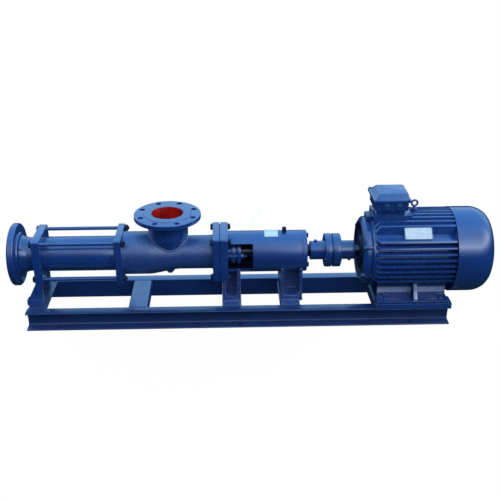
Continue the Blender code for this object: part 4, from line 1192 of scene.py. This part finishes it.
def drive_end_shield():
    """End shield: deep sloping rim, ribbed recess painted dark as shade, bearing cap, lugs and their bolts.
    """
    face, back = SHIELD.xs
    rim = SHIELD_R
    lip = SHIELD_LIP_R
    bore = 20.0
    profile = fillet(((face, bore), (face, 40.0, 2.0), (face + 3.0, 44.0, 3.0), (face + 14.0, 50.0, 5.0),
                      (face + 14.0, lip - 13.0, 5.0), (face + 4.0, lip - 8.0, 3.0),
                      (face + 1.0, lip - 5.0, 1.5), (face + 1.0, lip, 1.5), (face + 8.0, rim - 3.0, 4.0),
                      (face + 12.0, rim, 4.0), (back - 10.0, rim, 1.5), (back - 9.0, rim - 3.0, 0.8),
                      (back - 7.0, rim - 3.0, 0.8), (back - 6.0, END_RING_R, 1.5),
                      (back, END_RING_R, 0.5), (back, bore)), closed=True, steps=4)

    def lugs(bm):
        for degrees in LUG_ANGLES:
            centre = polar(LUG_AT, degrees)
            add_drum(bm, "X", face + 8.0, back - 0.5, 12.0, centre, MEDIUM, bevel=1.6)
            add_drum(bm, "X", face + 6.6, face + 8.4, 9.0, centre, SMALL, bevel=0.4)
            add_hex(bm, "X", face + 1.6, face + 7.0, 13.0, centre, turn=0.4)
        add_block(bm, (face + 15.5, back - 0.5), (-24.0, 24.0), (AXIS_Z + 100.0, SHIELD.z1), corner=2.5,
                  bevel=2.0)

    def ribs(bm):
        inner, outer = 46.0, 86.0
        for i in range(SHIELD_RIBS):
            angle = 2 * math.pi * (i + 0.5) / SHIELD_RIBS
            rings = []
            for x, grow in ((face + 9.0, -0.8), (face + 10.0, 0.0), (face + 15.5, 1.5)):
                half = SHIELD_RIB_HALF + grow
                ring = []
                for along, across in ((inner, -half), (outer, -half), (outer, half), (inner, half)):
                    y = along * math.cos(angle) - across * math.sin(angle)
                    z = along * math.sin(angle) + across * math.cos(angle)
                    ring.append((x, y, AXIS_Z + z))
                rings.append(ring)
            add_rings(bm, rings)

    made = finish("drive_end_shield", MOTOR, "motor_paint",
                  lambda bm: add_turned(bm, "X", profile, AXIS, ROUND), lugs, ribs)
    # The ribbed recess, painted dark as shade.
    repaint(made, GRIME_AND_SHADE, lambda spot, normal: spot.x < face + 15.8 and off_axis(spot) < lip - 6.0)
    repaint(made, SHADED, lambda spot, normal: spot.z > AXIS_Z + rim + 1.0 and abs(spot.y) < 26.0)


def motor_frame():
    """Finned frame with softened fins, shaded at its front."""
    made = refined("motor_frame", width=0.9, angle=25.0)
    dress(made, MOTOR, replaces=["motor_frame"])
    repaint(made, SHADED, lambda spot, normal: normal.x > 0.7)


def motor_foot(node):
    """Long foot with softened edges and two holding-down bolts."""
    made = refined(node, width=1.4, segments=3)
    dress(made, FOOT_PAINT, replaces=[node])
    # Faces toward the drive end, painted dark as shade.
    repaint(made, GRIME_AND_SHADE, lambda spot, normal: normal.x < -0.7)
    span = Span(node)
    y = math.copysign(FOOT_BOLT_Y, span.y0)
    pad_top = span.z0 + FOOT_PAD_T

    def bolts(bm):
        for x in FOOT_BOLT_XS:
            add_drum(bm, "Z", pad_top - 0.2, pad_top + 2.0, 11.5, (x, y), MEDIUM, bevel=0.5)
            add_hex(bm, "Z", pad_top + 2.0, pad_top + 9.0, 17.0, (x, y), turn=0.35)
            add_drum(bm, "Z", span.z0 - 12.0, pad_top + 1.0, FOOT_BOLT_R, (x, y), SMALL)

    dress(built(node + "_bolts", bolts), BOLT)


def cowl_shoulder(grow):
    """Profile of the cowl's rounded shoulder, from its end back to its side."""
    length, drop = 60.0, 47.0
    steps = 18
    points = []
    for i in range(steps + 1):
        angle = math.pi / 2 * i / steps
        points.append((COWL.x1 - length + (length + grow) * math.cos(angle),
                       COWL_R - drop + (drop + grow) * math.sin(angle)))
    return points


def fan_cowl():
    """Pressed sheet cowl with a rolled front edge, screws and air slots in its end."""
    start, end = COWL.xs
    profile = [(end - COWL_WALL, 0.0), *cowl_shoulder(-COWL_WALL), (start, COWL_R - COWL_WALL),
               (start, COWL_R - 0.6), (start + 0.8, COWL_R), *cowl_shoulder(0.0)[::-1], (end, 0.0)]
    slots = []
    for i in range(-3, 4):
        offset = COWL_SLOT_PITCH * i
        middle = AXIS_Z + offset
        half = math.sqrt(COWL_SLOTS_R ** 2 - offset ** 2)
        outline = rectangle(-half, half, middle - COWL_SLOT_HALF, middle + COWL_SLOT_HALF, 4.8)
        slots.append(built("slot", lambda bm, outline=outline:
                           add_prism(bm, "X", end - 8.0, end + 5.0, outline)))
    finish("fan_cowl", SHEET, "motor_paint", lambda bm: add_turned(bm, "X", profile, AXIS, 144),
           cutters=slots)

    def screws(bm):
        for degrees in COWL_SCREW_ANGLES:
            angle = math.radians(degrees)
            out = Vector((0.0, -math.cos(angle), math.sin(angle)))
            spot = Vector((start + 13.0, 0.0, AXIS_Z)) + out * (COWL_R - 0.5)
            turn = Vector((0.0, 0.0, 1.0)).rotation_difference(out).to_matrix().to_4x4()
            for sides, base_r, top_r, height in ((24, 4.6, 3.2, 3.0), (32, 6.4, 6.0, 1.4)):
                bmesh.ops.create_cone(bm, cap_ends=True, segments=sides, radius1=base_r, radius2=top_r,
                                      depth=height, matrix=Matrix.Translation(spot) @ turn)

    dress(built("cowl_screws", screws), BOLT)


BOX_DEPTH = 29.7
BOX_HALF = 55.0
BOX_NECK_HALF = 44.0
ENTRY_REACHES = (34.0, 73.0)
ENTRY_R = 12.5


def terminal_box():
    """Terminal box on its neck, with two plugged cable entries."""
    span = Span("terminal_box")
    left, right = span.xs
    low = span.z1 - BOX_DEPTH
    wall = -BOX_HALF

    def body(bm):
        add_block(bm, span.xs, (-BOX_HALF, BOX_HALF), (low, span.z1), corner=7.0, bevel=2.5)
        add_block(bm, (left + 7.0, right - 7.0), (-BOX_NECK_HALF, BOX_NECK_HALF), (span.z0, low + 5.0),
                  corner=6.0, bevel=1.5)

    def entries(bm):
        for reach in ENTRY_REACHES:
            centre = (left + reach, low + 15.0)
            add_drum(bm, "Y", wall + 3.0, wall - 3.4, ENTRY_R, centre, MEDIUM, bevel=0.8)
            add_hex(bm, "Y", wall - 4.9, wall - 3.0, 19.0, centre, turn=0.2)

    made = finish("terminal_box", MOTOR, "motor_paint", body, entries)
    repaint(made, SHADED, lambda spot, normal: normal.x > 0.7 and spot.z < low + 1.0)


def terminal_box_lid():
    """Lid with its raised panel, a gasket and four screws.

    Each slope holds a height of the panel and its insets at the left, the right and the two sides.
    """
    span = Span("terminal_box_lid")
    low, flat, top = span.z0, span.z0 + 8.0, span.z1
    slopes = ((low + 1.0, 6.0, 5.0, 5.0), (flat, 6.0, 5.0, 5.0), (top - 2.5, 19.0, 6.0, 17.0),
              (top - 0.7, 21.0, 7.4, 19.0), (top, 23.5, 9.5, 21.5))

    def plate(bm):
        add_block(bm, span.xs, span.ys, (low, flat), corner=6.0, bevel=2.5)

    def panel(bm):
        rings = []
        for z, left, right, side in slopes:
            outline = rectangle(span.x0 + left, span.x1 - right, span.y0 + side, span.y1 - side, 7.0)
            rings.append([(a, b, z) for a, b in outline])
        add_rings(bm, rings)

    def gasket(bm):
        add_block(bm, (span.x0 + 7.5, span.x1 - 5.5), (-54.6, 54.6), (low - 0.8, low + 0.4), corner=6.0,
                  bevel=0.2)

    def screws(bm):
        for x in (span.x0 + 6.5, span.x1 - 6.5):
            for y in (span.y0 + 6.5, span.y1 - 6.5):
                add_drum(bm, "Z", flat - 0.5, flat + 2.8, 4.0, (x, y), SMALL, bevel=0.8)

    finish("terminal_box_lid", LID_DUST_AND_SHEEN, "motor_paint", plate, panel)
    dress(built("lid_screws", screws), BOLT)
    dress(built("lid_gasket", gasket), RUBBER)


def eye_bolt():
    """Forged lifting eye with its collar."""
    span = Span("eye_bolt")
    centre_x = (span.x0 + span.x1) / 2
    wire = 3.3
    ring_r = (span.x1 - span.x0) / 2 - wire
    centre_z = span.z1 - ring_r - wire

    def ring(bm):
        rings = []
        for out, up in circle(1.0, 64):
            loop = [(centre_x + reach * out, side, centre_z + reach * up)
                    for reach, side in circle(wire, 20, (ring_r, 0.0))]
            rings.append(loop)
        add_rings(bm, rings, looped=True)

    def collar(bm):
        low, neck_top = span.z0, centre_z - ring_r + 1.0
        profile = fillet(((low, 0.0), (low, 8.0, 0.8), (low + 3.0, 8.0, 1.5), (low + 4.5, 5.0, 1.5),
                          (neck_top, 3.6), (neck_top, 0.0)))
        add_turned(bm, "Z", profile, (centre_x, 0.0), MEDIUM)

    finish("eye_bolt", BOLT, "motor_paint", ring, collar)


NAMEPLATE_TILT = math.radians(48.8)
NAMEPLATE_HALF = 18.9


def motor_nameplate():
    """Bare plate on its sloping seat, with rounded corners, a raised border and drive screws."""
    span = Span("motor_nameplate")
    middle = Vector((0.0, *span.middle("X")))
    down = Vector((0.0, -math.cos(NAMEPLATE_TILT), -math.sin(NAMEPLATE_TILT)))
    out = Vector((0.0, -math.sin(NAMEPLATE_TILT), math.cos(NAMEPLATE_TILT)))

    def ring(inset, lift):
        reach = NAMEPLATE_HALF - inset
        points = []
        for x, along in rectangle(span.x0 + inset, span.x1 - inset, -reach, reach, 4.5 - inset):
            spot = middle + down * along + out * lift
            points.append((x, spot.y, spot.z))
        return points

    def sheet(bm):
        add_rings(bm, [ring(0.0, -0.7), ring(0.0, 0.0), ring(0.3, 0.3)])

    def border(bm):
        add_rings(bm, [ring(1.6, 0.1), ring(1.6, 0.7), ring(2.6, 0.7), ring(2.6, 0.1)], looped=True)

    def screws(bm):
        for x in (span.x0 + 5.5, span.x1 - 5.5):
            for side in (-1, 1):
                add_dome(bm, middle + down * side * (NAMEPLATE_HALF - 5.5) + Vector((x, 0.0, 0.0)))

    finish("motor_nameplate", BARE, "plate_metal", sheet, border, screws)


def plain_nodes():
    """CAD nodes whose shape stays, with their finish."""
    finishes = {"stator_lining": RUBBER, "connecting_rod": STEEL, "bearing_inner": STEEL,
                "bearing_outer": STEEL, "cooling_fan": PLASTIC, "rear_end_shield": MOTOR}
    for name, material in finishes.items():
        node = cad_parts[name]
        node.data.materials.clear()
        node.data.materials.append(material)


# Stage, light and camera

STAGE_R = 14.0
STAGE_PROFILE = ((0.75, 0.0), (0.9, 0.04), (0.97, 0.12), (1.0, 0.25), (1.0, 0.8))


def white_bowl():
    """Pale floor that rises into a far backdrop; it doesn't light the object."""
    rings = []
    for reach, height in STAGE_PROFILE:
        rings.append([(a, b, STAGE_R * height) for a, b in circle(STAGE_R * reach, FINE)])
    bm = bmesh.new()
    lid = add_rings(bm, rings)[-1]
    bm.faces.remove(lid)
    mesh = bpy.data.meshes.new("floor")
    bm.to_mesh(mesh)
    bm.free()
    mesh.shade_smooth()
    floor = linked("floor", mesh)
    material = bpy.data.materials.new("pale_floor")
    material.use_nodes = True
    shader = material.node_tree.nodes["Principled BSDF"]
    shader.inputs["Base Color"].default_value = (0.08, 0.08, 0.08, 1.0)
    shader.inputs["Roughness"].default_value = 0.9
    shader.inputs["Specular IOR Level"].default_value = 0.1
    shader.inputs["Emission Color"].default_value = (1.0, 1.0, 1.0, 1.0)
    shader.inputs["Emission Strength"].default_value = 0.985
    mesh.materials.append(material)
    floor.visible_diffuse = False
    floor.visible_glossy = False
    floor.visible_shadow = False


DIM_SKY = ((0.0, (0.01, 0.03, 0.05)), (0.12, (0.04, 0.07, 0.10)), (0.33, (0.20, 0.26, 0.34)),
           (0.52, (0.62, 0.80, 1.12)), (0.75, (0.56, 0.86, 1.28)), (1.0, (0.24, 0.76, 1.46)))
BRIGHT_SKY = ((0.0, (0.02, 0.04, 0.06)), (0.11, (0.12, 0.22, 0.34)), (0.28, (0.66, 0.91, 1.22)),
              (0.42, (1.95, 2.45, 3.05)), (0.56, (1.40, 1.80, 2.30)), (0.75, (0.74, 1.10, 1.60)),
              (1.0, (0.24, 0.76, 1.46)))
BACK_SKY = ((0.0, (0.01, 0.03, 0.05)), (0.10, (0.22, 0.38, 0.55)), (0.30, (0.44, 0.80, 1.20)),
            (0.60, (0.30, 0.74, 1.25)), (1.0, (0.24, 0.72, 1.36)))


def sky_ramp(tree, height, stops):
    """Sky colour by height."""
    ramp = add_node(tree, "ShaderNodeValToRGB", {"Fac": height})
    elements = ramp.color_ramp.elements
    while len(elements) < len(stops):
        elements.new(0.5)
    for element, (position, colour) in zip(elements, stops):
        element.position = position
        element.color = (*colour, 1.0)
    return ramp.outputs["Color"]


def sky():
    """Soft dome: dark below the horizon, white low down, blue overhead, brighter to the right."""
    world = bpy.data.worlds.new("dome")
    bpy.context.scene.world = world
    world.use_nodes = True
    tree = world.node_tree
    background = tree.nodes["Background"]
    direction = tree.nodes.new("ShaderNodeTexCoord").outputs["Generated"]
    parts = add_node(tree, "ShaderNodeSeparateXYZ", {"Vector": direction}).outputs
    dim = sky_ramp(tree, parts["Z"], DIM_SKY)
    bright = sky_ramp(tree, parts["Z"], BRIGHT_SKY)
    colour = blend(tree, remap(tree, parts["X"], 0.10, 0.25), dim, bright)
    back = sky_ramp(tree, parts["Z"], BACK_SKY)
    colour = blend(tree, remap(tree, parts["Y"], -0.10, 0.15), colour, back)
    tree.links.new(colour, background.inputs["Color"])
    background.inputs["Strength"].default_value = 1.0


def area_light(name, spot, target, size, power, colour):
    """A large soft lamp that points at a target."""
    lamp = bpy.data.lights.new(name, "AREA")
    lamp.shape = "RECTANGLE"
    lamp.size, lamp.size_y = size
    lamp.energy = power
    lamp.color = colour
    made = linked(name, lamp)
    made.location = spot
    made.rotation_euler = (Vector(target) - Vector(spot)).to_track_quat("-Z", "Y").to_euler()
    made.visible_glossy = False


def lights():
    """Key light over the near side and a weak fill from behind."""
    area_light("key", (-0.6, -3.4, 3.6), target=(0.0, 0.0, 0.2), size=(2.2, 1.2), power=20.0,
               colour=(1.0, 0.97, 0.95))
    area_light("fill", (3.2, 2.6, 2.8), target=(0.2, 0.0, 0.2), size=(2.5, 2.5), power=10.0,
               colour=(0.9, 0.95, 1.0))


CAMERA_PLACE = (-0.0816, -2.2774, 1.3076)
CAMERA_TURN = (1.56, -25.82, -0.12)
CAMERA_LENS = 55.157
CAMERA_SHIFT = (0.01028, 0.00742)


def camera():
    """The photo's camera; CAMERA_TURN holds its yaw, pitch and roll in degrees."""
    yaw, pitch, roll = (math.radians(angle) for angle in CAMERA_TURN)
    ahead = Vector((math.sin(yaw) * math.cos(pitch), math.cos(yaw) * math.cos(pitch), math.sin(pitch)))
    level = Vector((math.cos(yaw), -math.sin(yaw), 0.0))
    over = level.cross(ahead)
    right = level * math.cos(roll) + over * math.sin(roll)
    up = over * math.cos(roll) - level * math.sin(roll)
    lens = bpy.data.cameras.new("photo_camera")
    lens.sensor_width = 36.0
    lens.lens = CAMERA_LENS
    lens.shift_x, lens.shift_y = CAMERA_SHIFT
    made = linked("photo_camera", lens)
    rotation = Matrix((right, up, -ahead)).transposed()
    made.matrix_world = Matrix.Translation(CAMERA_PLACE) @ rotation.to_4x4()
    bpy.context.scene.camera = made


def base_frame():
    """Rails, cross channels and packing bars."""
    for node in ("rail_front", "rail_rear"):
        rail(node)
    for node in CROSSMEMBERS:
        crossmember(node)
    for node in ("motor_packer_front", "motor_packer_rear"):
        packer(node)


def pump():
    """The pump's still pieces, from the outlet to the bearing cover."""
    discharge_body()
    stator_tube()
    for i in range(1, 5):
        tie_rod(f"tie_rod_{i}")
        housing_bolt(f"housing_bolt_{i}")
    suction_chamber()
    inlet_nozzle()
    drain_plug()
    suction_end("suction_plate", recess=0.0, bore=LINING_BORE_R)
    suction_end("suction_end_plate", recess=JOINT_HALF, bore=SHAFT_BORE_R)
    bearing_barrel()
    housing_joint()
    for node in ("bearing_leg_front", "bearing_leg_rear"):
        bearing_leg(node)
    packing_gland()
    bearing_cover()
    grease_nipple()
    pump_nameplate()


def drive_train():
    """What turns: couplings, shafts and rotor."""
    coupling_half("coupling_half_pump", toward=1, bore=20.3, flange_t=22.5, screw_at=18.0)
    coupling_half("coupling_half_motor", toward=-1, bore=19.3, flange_t=27.0, screw_at=14.0)
    shaft("drive_shaft", end=Span("drive_shaft").x1, radius=20.0, key_xs=(190.0, 206.0))
    shaft("motor_shaft", end=MOTOR_SHAFT_STEP_X, radius=19.0, key_xs=(338.0, 352.0))
    motor_shaft_tail()
    screw_rotor()


def motor():
    """The motor's still pieces."""
    drive_end_shield()
    motor_frame()
    for node in ("motor_foot_near", "motor_foot_far"):
        motor_foot(node)
    fan_cowl()
    terminal_box()
    terminal_box_lid()
    eye_bolt()
    motor_nameplate()


def main():
    """Set the stage and dress every node."""
    camera()
    white_bowl()
    sky()
    lights()
    bpy.context.scene.view_settings.view_transform = "Standard"
    base_frame()
    pump()
    drive_train()
    motor()
    plain_nodes()


main()
